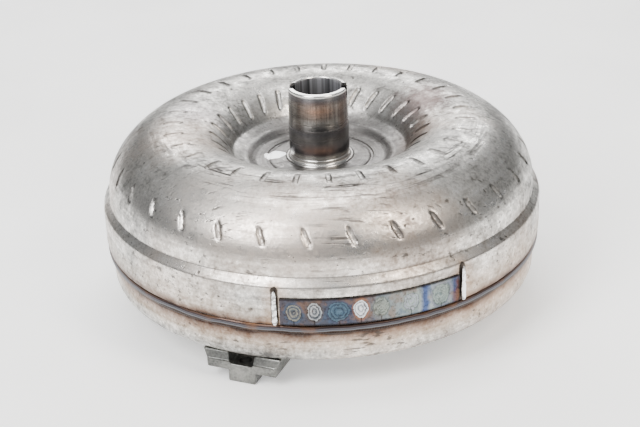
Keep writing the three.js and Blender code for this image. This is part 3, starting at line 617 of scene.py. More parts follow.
    def _patch(self, weave: Weave, point: Socket, wander: Socket, stain_or_light: StainOrPaintedLight) -> Socket:
        """One inside a stain or a patch of painted light, fading to zero at its ragged edge.

        Args:
            weave: The material being wired.
            point: Object coordinates.
            wander: Noise that makes the edge uneven.
            stain_or_light: The patch.

        Returns:
            The share of the patch.
        """
        centre = tuple(value * MM for value in stain_or_light.place)
        away = weave.add("VectorMath", "Value", operation="DISTANCE", in0=point, in1=centre)
        ragged = weave.about_zero(wander, stain_or_light.ragged * stain_or_light.reach * MM)
        return weave.span(weave.math("ADD", away, ragged), stain_or_light.reach * MM, stain_or_light.reach * 0.3 * MM)

    def _turned(self, weave: Weave, places: Places) -> Socket:
        """Turning marks on the floor of the bowl.

        Args:
            weave: The material being wired.
            places: Where a point is.

        Returns:
            How dark the marks are.
        """
        marks = weave.noise(places.round_and_along(0.9, 620.0, places.radius), 1.0, 5.0, 0.7)
        marks = weave.span(marks, 0.44, 0.66)
        inside = weave.span(places.radius, self.turned_radius + 0.006, self.turned_radius - 0.004)
        return weave.times(marks, inside)

    def _tints_and_shade(self, weave: Weave, places: Places, base: Socket, wander: Socket) -> Socket:
        """Adds the heat tints above and below the seam weld, and painted shade at the foot of the bead.

        Args:
            weave: The material being wired.
            places: Where a point is.
            base: The colour so far.
            wander: Noise that keeps the bands from being straight.

        Returns:
            The tinted colour.
        """
        slow = weave.noise(places.point, 55.0, 1.5)
        wobble = weave.math("ADD", weave.about_zero(slow, 0.006), weave.about_zero(wander, 0.002))
        place = weave.span(weave.math("ADD", places.height, wobble), self.seam_band_low, self.seam_band_high)
        amount = weave.ramp(place, [(0.0, 0.0), (0.14, 0.3), (0.28, 0.65), (0.38, 0.92), (0.6, 0.95),
                                    (0.66, 0.75), (0.76, 0.35), (1.0, 0.0)])
        # The near-black stop at 0.44 lies at the foot of the seam bead: painted shade under the bead, over
        # the undercut's dark colour.
        colour = weave.ramp(place, [(0.0, "C9B8A4"), (0.18, "AE8F70"), (0.31, "74523A"), (0.38, "341D12"),
                                    (0.44, "160C08"), (0.58, "281D17"), (0.63, "64493A"), (1.0, "C8B294")])
        return weave.mix(amount, base, colour)

    def _toes(self, weave: Weave, places: Places, base: Socket, wander: Socket) -> Socket:
        """Burns a dark outline into the belt round each of the strip's end beads.

        Args:
            weave: The material being wired.
            places: Where a point is.
            base: The colour so far.
            wander: Noise that makes the outline uneven.

        Returns:
            The new colour.
        """
        for azimuth in self.bead_azimuths:
            turn = math.radians(azimuth)
            foot = (self.bead_radius * math.cos(turn), self.bead_radius * math.sin(turn), 0.0)
            level = weave.add("VectorMath", operation="MULTIPLY", in0=places.point, in1=(1.0, 1.0, 0.0))
            across = weave.add("VectorMath", "Value", operation="DISTANCE", in0=level, in1=foot)
            off = weave.math("ABSOLUTE", weave.math("SUBTRACT", places.height, self.bead_height))
            over = weave.math("MAXIMUM", weave.math("SUBTRACT", off, self.bead_half_height), 0.0)
            away = weave.math("ADD", across, over)
            away = weave.math("ADD", away, weave.about_zero(wander, 0.002))
            halo = weave.span(away, *self.halo_reach)
            base = weave.lay(base, halo, 0.35, "A9876A")
            toe = weave.span(away, *self.toe_reach)
            base = weave.lay(base, toe, 0.92, "2A2522")
        return base

    def _strokes(self, weave: Weave, vector: Socket, least: float, spread: float = 0.05) -> Socket:
        """Straight thin strokes: the peaks of noise that is stretched along them.

        Args:
            weave: The material being wired.
            vector: Where the noise is read, already stretched.
            least: The noise at which a stroke starts.
            spread: How fast it reaches its full strength.

        Returns:
            One on a stroke, zero elsewhere.
        """
        noise = weave.noise(vector, 1.0, 3.0, 0.6)
        return weave.span(noise, least, least + spread)

    def _scratches(self, weave: Weave, point: Socket) -> Socket:
        """Scratches in four directions, gathered in patches.

        Args:
            weave: The material being wired.
            point: Object coordinates.

        Returns:
            How strong the scratches are.
        """
        total: Socket | float = 0.0
        for turn, tilt in self.scratch_turns:
            way = weave.add("Mapping", Vector=point, Rotation=(tilt, 0.6 * tilt, turn),
                            Scale=self.scratch_stretch)
            part = weave.noise(point, 24.0 + 9.0 * turn, 3.0)
            part = weave.span(part, 0.52, 0.6)
            line = weave.times(self._strokes(weave, way, 0.61), part)
            total = weave.math("MAXIMUM", line, total)
        return total

    def _scuffs(self, weave: Weave, places: Places) -> Socket:
        """Dark rub marks that run round the shell just outside its crown, on the side it was slid on.

        Args:
            weave: The material being wired.
            places: Where a point is.

        Returns:
            How strong the marks are.
        """
        lines: Socket | float = 0.0
        for around, across, least in self.scuff_runs:
            way = places.round_and_along(around, across, places.radius)
            lines = weave.math("MAXIMUM", self._strokes(weave, way, least, 0.08), lines)
        gathered = weave.noise(places.round_and_along(3.0, 90.0, places.radius), 1.0, 3.0)
        gathered = weave.span(gathered, 0.42, 0.54)
        inner = weave.span(places.radius, *(self.crown_radius + reach for reach in self.scuff_inner))
        outer = weave.span(places.radius, *(self.crown_radius + reach for reach in self.scuff_outer))
        upper = weave.span(places.height, *(self.crown_height - drop for drop in self.scuff_drop))
        side = weave.span(weave.add("SeparateXYZ", "Y", Vector=places.heading), 0.0, -0.6)
        for gate in (inner, outer, upper, side, gathered):
            lines = weave.times(lines, gate)
        return lines

    def _pits(self, weave: Weave, point: Socket) -> Socket:
        """Small dark nicks, sparse and uneven.

        Args:
            weave: The material being wired.
            point: Object coordinates.

        Returns:
            One inside a nick, zero elsewhere.
        """
        warped = weave.add("TexNoise", "Color", Vector=point, Scale=300.0, Detail=2.0)
        warped = weave.add("VectorMath", operation="SCALE", in0=warped, Scale=0.004)
        place = weave.add("VectorMath", operation="ADD", in0=point, in1=warped)
        total: Socket | float = 0.0
        for scale, size, least in self.pit_sizes:
            cell = weave.add("TexVoronoi", "Distance", Vector=place, Scale=scale, Randomness=1.0)
            spot = weave.span(cell, size, size * 0.5)
            sparse = weave.noise(point, scale * 0.3, 2.0)
            sparse = weave.span(sparse, least, least + 0.08)
            total = weave.math("MAXIMUM", weave.times(spot, sparse), total)
        return total


@dataclass(frozen=True)
class GroundHubSteel:
    """The hub's ground journal: grey, with a copper blush from the pump bush and fine plunge marks; its bore
    carries painted shade.
    """

    name: str = "hub_steel_induction_hardened_and_ground"
    foot: float = 103.6 * MM
    mouth: float = 156 * MM
    bore: float = 17.3 * MM
    blush_front: float = -21 * MM
    blush_reach: Point = (17 * MM, 3 * MM)
    blushes: tuple[Point, ...] = ((0.78, 0.16), (0.22, 0.1))

    def build(self) -> bpy.types.Material:
        """Wires the material.

        Returns:
            The material.
        """
        weave = Weave(self.name)
        places = Places(weave)
        rings = weave.noise(places.round_and_along(0.35, 900.0, places.height), 1.0, 4.0)
        along = weave.noise(places.round_and_along(34.0, 26.0, places.height), 1.0, 4.0)
        cloud = weave.noise(places.point, 70.0, 4.0)
        share = weave.span(places.height, self.foot, self.mouth)
        wander = weave.about_zero(cloud, 0.05)
        bands = weave.ramp(weave.math("ADD", share, wander),
                           [(0.0, "8C8986"), (0.05, "DEDBD6"), (0.12, "B8B5B0"), (0.16, "5F5D60"),
                            (0.36, "666463"), (0.44, "525154"), (0.6, "6A6866"), (0.84, "706D6B"),
                            (0.9, "515257"), (0.955, "68686C"), (0.975, "F2F0EC")])
        fine = weave.span(rings, 0.35, 0.65)
        colour = weave.lay(bands, fine, 0.22, "56534F")
        for height, reach in self.blushes:
            off = weave.math("ABSOLUTE", weave.math("SUBTRACT", share, height))
            level = weave.span(off, reach, 0.0)
            front = weave.add("VectorMath", "Value", operation="DISTANCE", in1=(0.0, self.blush_front, 0.0),
                              in0=weave.add("VectorMath", operation="MULTIPLY", in0=places.point,
                                            in1=(1.0, 1.0, 0.0)))
            near = weave.span(front, *self.blush_reach)
            amount = weave.times(weave.times(level, near), cloud)
            colour = weave.lay(colour, amount, 0.65, "A87350")
        marks = weave.span(along, 0.47, 0.6)
        lower = weave.span(share, 0.5, 0.66)
        upper = weave.span(share, 0.93, 0.86)
        marks = weave.times(marks, weave.times(upper, lower))
        colour = weave.lay(colour, marks, 0.6, "35302E")
        # Inside the bore: a lighter grey streaked with dark, as painted shade and painted reflection strips.
        inside = weave.span(places.radius, self.bore, self.bore - 0.0002)
        colour = weave.lay(colour, inside, 0.9, "8C8C90")
        colour = weave.mix(weave.times(inside, self._bore_shade_streaks(weave, places)), colour, "19191B")
        rough = weave.span(rings, 0.3, 0.7, 0.16, 0.3)
        rough = weave.math("ADD", rough, weave.times(inside, 0.3))
        relief = weave.math("ADD", rings, weave.times(marks, -0.5))
        normal = weave.bump(relief, 0.08, 0.0002)
        metal = weave.math("SUBTRACT", 1.0, weave.times(inside, 0.45))
        return weave.close(colour, rough, normal, metal=metal)

    def _bore_shade_streaks(self, weave: Weave, places: Places) -> Socket:
        """Painted shade down the bore: dark streaks, with lighter strips between them as painted reflections.
        """
        noise = weave.noise(places.round_and_along(4.0, 3.0, places.height), 1.0, 3.0)
        return weave.span(noise, 0.4, 0.62, end=0.85)


@dataclass(frozen=True)
class WeldBead:
    """Arc weld metal: blue-grey scale on its crown, dark flux and undercut along its toes, and painted shade
    on its underside.
    """

    name: str = "seam_weld_mag_bead"
    bottom: float = 45.4 * MM
    top: float = 51.3 * MM

    def build(self) -> bpy.types.Material:
        """Wires the material.

        Returns:
            The material.
        """
        weave = Weave(self.name)
        places = Places(weave)
        drift = weave.noise(places.point, 45.0, 5.0)
        fine = weave.noise(places.point, 900.0, 3.0)
        wobble = weave.about_zero(drift, 0.0035)
        share = weave.span(weave.math("ADD", places.height, wobble), self.bottom, self.top)
        # The near-black bottom stops are painted shade under the bead, over its dark flux and undercut.
        colour = weave.ramp(share, [(0.0, "1C110B"), (0.2, "2B1C15"), (0.32, "443E3B"), (0.44, "6A6B70"),
                                    (0.52, "3E3F44"), (0.64, "5E595C"), (0.74, "383436"), (0.84, "6A5750"),
                                    (0.93, "4C3A30"), (1.0, "241812")])
        brown = weave.span(drift, 0.55, 0.68)
        colour = weave.lay(colour, brown, 0.5, "7C5A43")
        rough = weave.span(fine, 0.0, 1.0, 0.3, 0.5)
        normal = weave.bump(fine, 0.25, 0.0003)
        return weave.close(colour, rough, normal)


@dataclass(frozen=True)
class SpotWeld:
    """One spot weld: an oval of rings, in degrees, millimetres and hex tones."""

    azimuth: float
    height: float
    half_width: float
    half_height: float
    centre: str
    inner: str
    ring: str
    halo: str


@dataclass(frozen=True)
class TemperedStrip:
    """Mild steel strip with the temper colours left by its spot welds."""

    name: str = "balance_strip_steel_spot_welded"
    radius: float = 157.3 * MM
    bottom: float = 53 * MM
    top: float = 72 * MM
    start: float = -100.9
    end: float = -56.4
    blue_band: float = -66.0
    band_reach: Point = (1.5, 0.4)
    tick_reach: Point = (0.24, 0.12)
    burnt_and_shaded_edge: Point = (1.4 * MM, 0.4 * MM)
    spots: tuple[SpotWeld, ...] = (
        SpotWeld(-97.6, 62.3, 6.6, 7.2, "8E8C7C", "566068", "2A3036", "3E4E62"),
        SpotWeld(-92.8, 63.6, 5.6, 8.2, "BEC0C0", "6E7478", "1E1B1A", "554A42"),
        SpotWeld(-87.0, 62.6, 8.0, 8.6, "4E6472", "3C4F5C", "20282E", "404656"),
        SpotWeld(-81.9, 63.6, 5.4, 8.2, "FFFFFF", "C8CED4", "3A3634", "96603E"),
        SpotWeld(-77.1, 62.8, 6.6, 8.0, "747A72", "949C92", "4C544C", "6E787A"),
        SpotWeld(-69.7, 63.2, 6.4, 7.4, "8E8A9C", "9CA6A4", "55645C", "7C8880"),
        SpotWeld(-61.7, 63.0, 7.8, 8.4, "5C6862", "8A968E", "46524A", "6E6C7C"),
    )

    def build(self) -> bpy.types.Material:
        """Wires the material.

        Returns:
            The material.
        """
        weave = Weave(self.name)
        places = Places(weave)
        cloud = weave.noise(places.point, 90.0, 6.0, 0.6)
        speck = weave.noise(places.point, 420.0, 5.0, 0.7)
        share = weave.span(places.azimuth, math.radians(self.start), math.radians(self.end))
        along = weave.ramp(share, [(0.0, "47444A"), (0.2, "45464E"), (0.36, "3F4452"), (0.5, "625C5E"),
                                   (0.6, "7A8182"), (0.85, "929A9A"), (0.94, "7C8284"), (0.965, "3E3E5C"),
                                   (0.985, "523838"), (1.0, "2C2422")])
        brown = weave.span(cloud, 0.52, 0.6)
        colour = weave.lay(along, brown, 0.45, "74563F")
        blue = weave.span(cloud, 0.46, 0.38)
        colour = weave.lay(colour, blue, 0.5, "41566E")
        colour = self._band(weave, places, colour, cloud)
        for spot in self.spots:
            colour = self._spot(weave, places, colour, cloud, speck, spot)
        grit = weave.span(speck, 0.5, 0.64, end=0.5)
        colour = weave.mix(grit, colour, "221F1F")
        # Burnt oxide and painted shade along the strip's upper and lower edges.
        colour = self._edges(weave, places, colour)
        rough = weave.span(speck, 0.3, 0.7, 0.25, 0.5)
        normal = weave.bump(speck, 0.6, 0.0006)
        return weave.close(colour, rough, normal)

    def _band(self, weave: Weave, places: Places, colour: Socket, cloud: Socket) -> Socket:
        """Lays the blue heat band that crosses the strip between two spots."""
        middle = weave.math("SUBTRACT", places.azimuth, math.radians(self.blue_band))
        sway = weave.about_zero(cloud, 0.05)
        off = weave.math("ABSOLUTE", weave.math("ADD", middle, sway))
        band = weave.span(off, *map(math.radians, self.band_reach))
        return weave.lay(colour, band, 0.85, "34487A")

    def _spot(self, weave: Weave, places: Places, colour: Socket, cloud: Socket, speck: Socket,
              spot: SpotWeld) -> Socket:
        """Lays one spot weld's rings, with the electrode's tick under it.

        Args:
            weave: The material being wired.
            places: Where a point is.
            colour: The colour so far.
            cloud: Slow noise, which makes the rings uneven.
            speck: Fine noise, which breaks up the metal between them.
            spot: The spot weld.

        Returns:
            The new colour.
        """
        turn = weave.math("SUBTRACT", places.azimuth, math.radians(spot.azimuth))
        across = weave.times(turn, self.radius / (spot.half_width * MM))
        rise = weave.math("SUBTRACT", places.height, spot.height * MM)
        up = weave.times(rise, 1 / (spot.half_height * MM))
        away = weave.add("VectorMath", "Value", operation="LENGTH",
                         in0=weave.add("CombineXYZ", X=across, Y=up))
        away = weave.math("ADD", away, weave.about_zero(cloud, 1.0))
        away = weave.math("ADD", away, weave.about_zero(speck, 0.5))
        rings = weave.ramp(away, [(0.0, spot.centre), (0.2, spot.inner), (0.26, spot.ring),
                                  (0.32, spot.inner), (0.46, spot.centre), (0.52, spot.inner),
                                  (0.58, spot.ring), (0.64, spot.inner), (0.76, spot.centre),
                                  (0.82, spot.ring), (0.9, spot.halo), (1.0, spot.halo)])
        amount = weave.span(away, 1.15, 0.85)
        colour = weave.mix(weave.times(amount, 0.68), colour, rings)
        narrow = weave.span(weave.math("ABSOLUTE", turn), *map(math.radians, self.tick_reach))
        below = weave.span(up, -0.75, -0.85)
        return weave.mix(weave.times(narrow, weave.times(below, 0.6)), colour, "1F1B1A")

    def _edges(self, weave: Weave, places: Places, colour: Socket) -> Socket:
        """Darkens the strip's upper and lower edges: burnt oxide, with painted shade along them."""
        for edge, inwards in ((self.top, -1), (self.bottom, 1)):
            dark = weave.span(places.height, *(edge + inwards * reach for reach in self.burnt_and_shaded_edge))
            colour = weave.lay(colour, dark, 0.85, "1E1A18")
        return colour


@dataclass(frozen=True)
class EndBead:
    """A run of weld metal with a dark toe, where it meets the belt, and a painted highlight: it turns white
    at its crown.
    """

    name: str = "strip_end_bead_weld_painted_highlight"
    toe: float = 156.5 * MM
    crown: float = 157.3 * MM

    def build(self) -> bpy.types.Material:
        """Wires the material.

        Returns:
            The material.
        """
        weave = Weave(self.name)
        places = Places(weave)
        grain = weave.noise(places.point, 350.0, 4.0)
        share = weave.span(places.radius, self.toe, self.crown)
        # Painted highlight: lighter with radius, from the dark toe to a white crown.
        colour = weave.ramp(share, [(0.0, "161413"), (0.4, "3A3734"), (0.6, "94928E"), (0.82, "E8E6E2"),
                                    (1.0, "FFFFFF")])
        dull = weave.span(grain, 0.5, 0.6)
        colour = weave.lay(colour, dull, 0.75, "5A5652")
        rough = weave.span(grain, 0.0, 1.0, 0.1, 0.35)
        normal = weave.bump(grain, 0.7, 0.001)
        return weave.close(colour, rough, normal)


@dataclass(frozen=True)
class Friction:
    """A matt lining or seal, flecked with fibre."""

    name: str
    light: str
    dark: str
    fleck_mm: float
    roughness: float

    def build(self) -> bpy.types.Material:
        """Wires the material.

        Returns:
            The material.
        """
        weave = Weave(self.name)
        places = Places(weave)
        fleck = weave.noise(places.point, 1 / (self.fleck_mm * MM), 6.0)
        colour = weave.ramp(fleck, [(0.4, self.dark), (0.6, self.light)])
        rough = weave.span(fleck, 0.0, 1.0, self.roughness * 0.85, self.roughness)
        normal = weave.bump(fleck, 0.4, 0.0003)
        return weave.close(colour, rough, normal, metal=0.0)


# ---- Sub-assemblies -----------------------------------------------------------------------------


@dataclass
class ImpellerShell:
    """The pressed upper half of the housing, with its torus, shoulder, belt and dents (millimetres)."""

    node: str = "impeller_shell"
    body: str = "housing"
    steps: int = 744
    belt_radius: float = 156.0
    belt_bottom: float = 51.6
    belt_taper_top: float = 55.7
    belt_taper: float = 0.7
    belt_top: float = 77.4
    shoulder_step: float = 4.9
    wall_height: float = 89.1
    crown_radius: float = 101.8
    crown_height: float = 132.0
    eye_radius: float = 55.8
    fullness: float = 1.853
    wall: float = 5.0
    ridge: Point = (52.5, 106.7)
    floor_edge: Point = (47.9, 101.8)
    floor_rise: float = 1.8
    groove_radius: float = 37.2
    groove_depth: float = 0.8
    bore: float = 24.3
    skirt_inner: float = 152.6
    joggle: float = 79.2
    flank_angle: float = 150.0
    vanes: int = 31
    phase: float = 5.5
    eye_sweep: float = 6.2
    rim_sweep: float = 3.85
    sweep_power: float = 1.65
    sweep_span: float = 55.0
    dent_rows: tuple[Point, ...] = ((141, 122), (96, 79), (36, 22))
    dent_width: float = 3.6
    dent_depth: float = 1.5

    def meridian(self, angle: float) -> Point:
        """A point of the torus section.

        Args:
            angle: Degrees from the rim, with the crown at 90.

        Returns:
            Its radius and height.
        """
        cosine, sine = math.cos(math.radians(angle)), math.sin(math.radians(angle))
        power = 2 / self.fullness if cosine > 0 else 1.0
        outer = self.belt_radius - self.shoulder_step
        reach = outer - self.crown_radius if cosine > 0 else self.crown_radius - self.eye_radius
        return (self.crown_radius + math.copysign(reach * abs(cosine) ** power, cosine),
                self.wall_height + (self.crown_height - self.wall_height) * abs(sine) ** power)

    def vane_azimuth(self, angle: float) -> float:
        """Where the first vane lies behind the shell at an angle of the section."""
        sweep = self.eye_sweep if angle > 90 else self.rim_sweep
        return self.phase + sweep * abs((angle - 90) / self.sweep_span) ** self.sweep_power

    def _inside(self, angle: float) -> Point:
        """The section's inner face, a wall's thickness under the outer one."""
        ahead, here = self.meridian(angle + 1), self.meridian(angle)
        along = Vector((ahead[0] - here[0], ahead[1] - here[1])).normalized()
        return (here[0] - along.y * self.wall, here[1] + along.x * self.wall)

    def outline(self) -> list[Point]:
        """The whole section, outside first.

        Returns:
            A closed outline of (radius, height) points.
        """
        floor = self.floor_edge[1]
        flank = self.meridian(self.flank_angle)
        middle = floor + self.floor_rise / 2
        points = [(self.bore, floor - self.wall), (self.bore, floor + self.floor_rise - 0.3),
                  (self.bore + 0.3, floor + self.floor_rise)]
        points += [(r, floor + self.floor_rise * (1 - (r - self.bore) / 26)) for r in (28, 31, 34)]
        points += [(self.groove_radius - 1.4, middle), (self.groove_radius - 0.6, middle - self.groove_depth),
                   (self.groove_radius + 0.6, middle - self.groove_depth), (self.groove_radius + 1.4, middle)]
        points += [(41, floor + 0.6)]
        points += s_run((44.4, floor + 0.3), (self.ridge[0] + 1.4, self.ridge[1] + 0.1), 14)
        points += self._flank_blend(flank)
        points += [self.meridian(a) for a in np.linspace(self.flank_angle, 0, 64)]
        wall = self.belt_radius - self.shoulder_step
        points += self._shoulder(wall)
        points += [(self.belt_radius, h) for h in (75, 68, 61)]
        points += [(self.belt_radius, self.belt_taper_top + 0.4),
                   (self.belt_radius - self.belt_taper, self.belt_bottom + 0.4),
                   (self.belt_radius - self.belt_taper - 0.5, self.belt_bottom),
                   (self.skirt_inner, self.belt_bottom), (self.skirt_inner, self.joggle),
                   (wall - self.wall, self.joggle + 4.2)]
        points += [self._inside(a) for a in np.linspace(4, 144, 12)]
        points += [(self.ridge[0] + self.wall, self.ridge[1] - self.wall),
                   (self.floor_edge[0] + self.wall / 2, floor - self.wall)]
        return points

    def _shoulder(self, wall: float) -> list[Point]:
        """The crease under the torus wall and the sloped ledge that rounds into the belt."""
        points = [(wall, self.wall_height - 2.0)]
        points += arc((wall + 2.2, self.wall_height - 3.8), 2.2, 180, 218, 4)
        points += arc((self.belt_radius - 3.4, self.belt_top + 0.4), 3.4, 48, 0, 7)
        return points

    def _flank_blend(self, flank: Point) -> list[Point]:
        """The run from the ridge up to where the flank's ellipse starts."""
        start = (self.ridge[0] + 1.4, self.ridge[1] + 0.1)
        control = ((self.ridge[0] + flank[0]) / 2, self.ridge[1] + (flank[1] - self.ridge[1]) * 0.35)
        return [tuple((1 - t) ** 2 * start[i] + 2 * t * (1 - t) * control[i] + t * t * flank[i]
                      for i in (0, 1)) for t in np.linspace(0.15, 0.85, 5)]

    def build(self) -> bpy.types.Object:
        """Spins the section and presses the dents into it.

        Returns:
            The shell.
        """
        piece = spin_profile(self.node + "_fine", self.outline(), self.steps)
        places = vertex_places(piece) / MM
        radius = np.hypot(places[:, 0], places[:, 1])
        azimuth = np.degrees(np.arctan2(places[:, 1], places[:, 0]))
        sunk = np.zeros(len(places))
        for start, end in self.dent_rows:
            for angle in np.arange(end - 3, start + 3, 0.5):
                sunk = np.maximum(sunk, self._dent_slice(places, radius, azimuth, angle, start, end))
        sculpt(piece, -sunk * MM)
        piece.data.attributes.new("dent", "FLOAT", "POINT").data.foreach_set(
            "value", (sunk / self.dent_depth).astype(np.float32))
        return stand_in(piece, self.node, self.body, 40)

    def _dent_slice(self, places: np.ndarray, radius: np.ndarray, azimuth: np.ndarray, angle: float,
                    start: float, end: float) -> np.ndarray:
        """How deep the dents of one row are over one slice of the section.

        Args:
            places: Vertices in millimetres.
            radius: Their radii.
            azimuth: Their azimuths in degrees.
            angle: The slice's angle.
            start: The row's inner end.
            end: The row's outer end.

        Returns:
            A depth in millimetres for each vertex.
        """
        r, z = self.meridian(angle)
        near = np.hypot(radius - r, places[:, 2] - z)
        pitch = 360 / self.vanes
        off = (azimuth - self.vane_azimuth(angle) + pitch / 2) % pitch - pitch / 2
        across = np.radians(off) * r
        r0, z0 = self.meridian(start)
        r1, z1 = self.meridian(end)
        half = self.dent_width / 2
        inset = min(math.hypot(r - r0, z - z0), math.hypot(r - r1, z - z1))
        if not end <= angle <= start:
            inset = -inset
        beyond = max(0.0, half - inset)
        span = np.hypot(across, beyond) / half
        depth = self.dent_depth * np.clip(1 - span ** 2, 0, 1) ** 0.7
        return np.where(near < 0.45, depth, 0)


@dataclass
class FrontCover:
    """The pressed lower half, flat-bottomed with a dished middle (millimetres)."""

    node: str = "front_cover"
    body: str = "housing"
    steps: int = 360
    radius: float = 152.3
    wall: float = 5.0
    bottom: float = 21.5
    corner: float = 8.0
    rim: float = 78.9
    dish_bottom: float = 15.5
    dish_radius: float = 92.0
    dish_slope: float = 12.0

    def build(self) -> bpy.types.Object:
        """Spins the cover's section.

        Returns:
            The cover.
        """
        corner = (self.radius - self.corner, self.bottom + self.corner)
        inner = self.radius - self.wall
        floor = self.bottom + self.wall
        slope = (self.dish_radius + self.dish_slope, self.bottom)
        profile = [(0.6, self.dish_bottom + self.wall), (0.6, self.dish_bottom)]
        profile += [(r, self.dish_bottom) for r in (20, 45, 70)]
        profile += [(self.dish_radius, self.dish_bottom), slope, (125, self.bottom)]
        profile += arc(corner, self.corner, -90, 0, 10)
        profile += [(self.radius, 38), (self.radius, 46), (self.radius, self.rim), (inner, self.rim)]
        profile += arc(corner, self.corner - self.wall, 0, -90, 6)
        profile += [(slope[0] - self.wall / 3, floor),
                    (self.dish_radius - self.wall / 3, self.dish_bottom + self.wall)]
        piece = spin_profile(self.node + "_fine", profile, self.steps)
        return stand_in(piece, self.node, self.body)


@dataclass
class PumpHub:
    """The pump drive hub with its foot band, ground journal, mouth chamfers and drive slots."""

    node: str = "impeller_hub"
    body: str = "housing"
    steps: int = 192
    radius: float = 21.0
    swell: float = 0.4
    bore: float = 16.9
    foot_radius: float = 24.0
    foot: float = 103.6
    foot_rise: float = 3.4
    mouth: float = 156.0
    flange_radius: float = 36.0
    flange_thickness: float = 1.9
    flange_top: float = 96.5
    slot_width: float = 11.0
    slot_depth: float = 8.0
    slot_azimuth: float = -4.7

    def build(self) -> bpy.types.Object:
        """Spins the hub and cuts its slots.

        Returns:
            The hub.
        """
        swell = self.radius + self.swell
        middle = (self.foot + self.mouth) / 2
        flange_bottom = self.flange_top - self.flange_thickness
        profile = [(self.bore, flange_bottom), (self.flange_radius, flange_bottom),
                   (self.flange_radius, self.flange_top), (self.foot_radius, self.flange_top),
                   (self.foot_radius, self.foot - 0.1), (self.foot_radius - 0.5, self.foot + 0.5)]
        profile += arc((swell + 1.9, self.foot + 2.2), 1.9, -110, -180, 6)
        profile += [(swell, self.foot + self.foot_rise), (swell - 0.25, self.foot + self.foot_rise + 0.3)]
        profile += [(swell - 0.25, self.foot + 6.6), (swell, self.foot + 7.0), (swell, middle - 1),
                    (swell, middle), (self.radius, middle + 0.8), (self.radius, middle + 9),
                    (self.radius, self.mouth - 10), (self.radius, self.mouth - 2.4)]
        profile += arc((self.radius - 1.3, self.mouth - 1.3), 1.25, 0, 90, 4)
        profile += [(self.bore + 0.9, self.mouth), (self.bore + 0.15, self.mouth - 0.7),
                    (self.bore, self.mouth - 1.1), (self.bore, self.mouth - 14),
                    (self.bore + 0.2, self.mouth - 14.4), (self.bore + 0.2, 120), (self.bore, 119.6)]
        piece = spin_profile(self.node + "_fine", profile, self.steps)
        deselect()
        bpy.ops.mesh.primitive_cube_add(size=1, location=(0, 0, self.mouth * MM))
        slot = bpy.context.object
        slot.scale = (4 * self.foot_radius * MM, self.slot_width * MM, 2 * self.slot_depth * MM)
        turn_about_axis(settle(slot), self.slot_azimuth)
        cut_away(piece, slot)
        return stand_in(piece, self.node, self.body)


@dataclass
class CrankPilot:
    """The plug that centres the converter in the crankshaft."""

    node: str = "crank_pilot"
    body: str = "housing"
    steps: int = 128
    radius: float = 22.0
    relief: float = 1.5
    top: float = 15.2

    def build(self) -> bpy.types.Object:
        """Spins the pilot.

        Returns:
            The pilot.
        """
        profile = [(0.4, 0), (4, 0), (5, 2.4), (5.6, 0), (self.radius - self.relief, 0)]
        profile += arc((self.radius - self.relief, self.relief), self.relief, -70, 0, 4)
        profile += [(self.radius, self.top - 2 * self.relief),
                    (self.radius + self.relief, self.top - self.relief * 0.7),
                    (self.radius + 2 * self.relief, self.top), (0.4, self.top)]
        piece = spin_profile(self.node + "_fine", profile, self.steps)
        return stand_in(piece, self.node, self.body)


@dataclass
class SeamWeld:
    """The rippled bead that closes the housing."""

    node: str = "seam_weld"
    body: str = "housing"
    steps: int = 2400
    inner: float = 152.6
    proud: float = 2.9
    bottom: float = 45.4
    top: float = 51.3
    ripple_pitch: float = 1.7
    ripple: float = 0.16

    def build(self) -> bpy.types.Object:
        """Spins the bead and presses its ripples into it.

        Returns:
            The bead.
        """
        profile = [(self.inner, self.bottom + 0.2), (self.inner + 0.5, self.bottom + 0.05)]
        middle = (self.bottom + self.top) / 2
        half = (self.top - self.bottom) / 2
        profile += [(self.inner + 0.6 + (self.proud - 0.6) * math.cos(math.radians(a)) ** 0.6,
                     middle + half * math.sin(math.radians(a))) for a in np.linspace(-80, 62, 11)]
        profile += [(self.inner + self.proud * 0.6, self.top), (self.inner, self.top)]
        piece = spin_profile(self.node + "_fine", profile, self.steps)
        places = vertex_places(piece) / MM
        radius = np.hypot(places[:, 0], places[:, 1])
        along = np.arctan2(places[:, 1], places[:, 0]) * self.inner
        bow = ((places[:, 2] - middle) / half) ** 2 * 1.4
        ripple = np.sin(2 * math.pi * (along + bow) / self.ripple_pitch)
        sway = 0.5 + 0.5 * np.sin(along / 31) * np.sin(along / 12.7)
        crown = np.clip((radius - self.inner - 0.7) / (self.proud - 0.7), 0, 1)
        sculpt(piece, -(0.5 + 0.5 * ripple) * self.ripple * crown * (0.6 + 0.4 * sway) * MM)
        return stand_in(piece, self.node, self.body, 50)


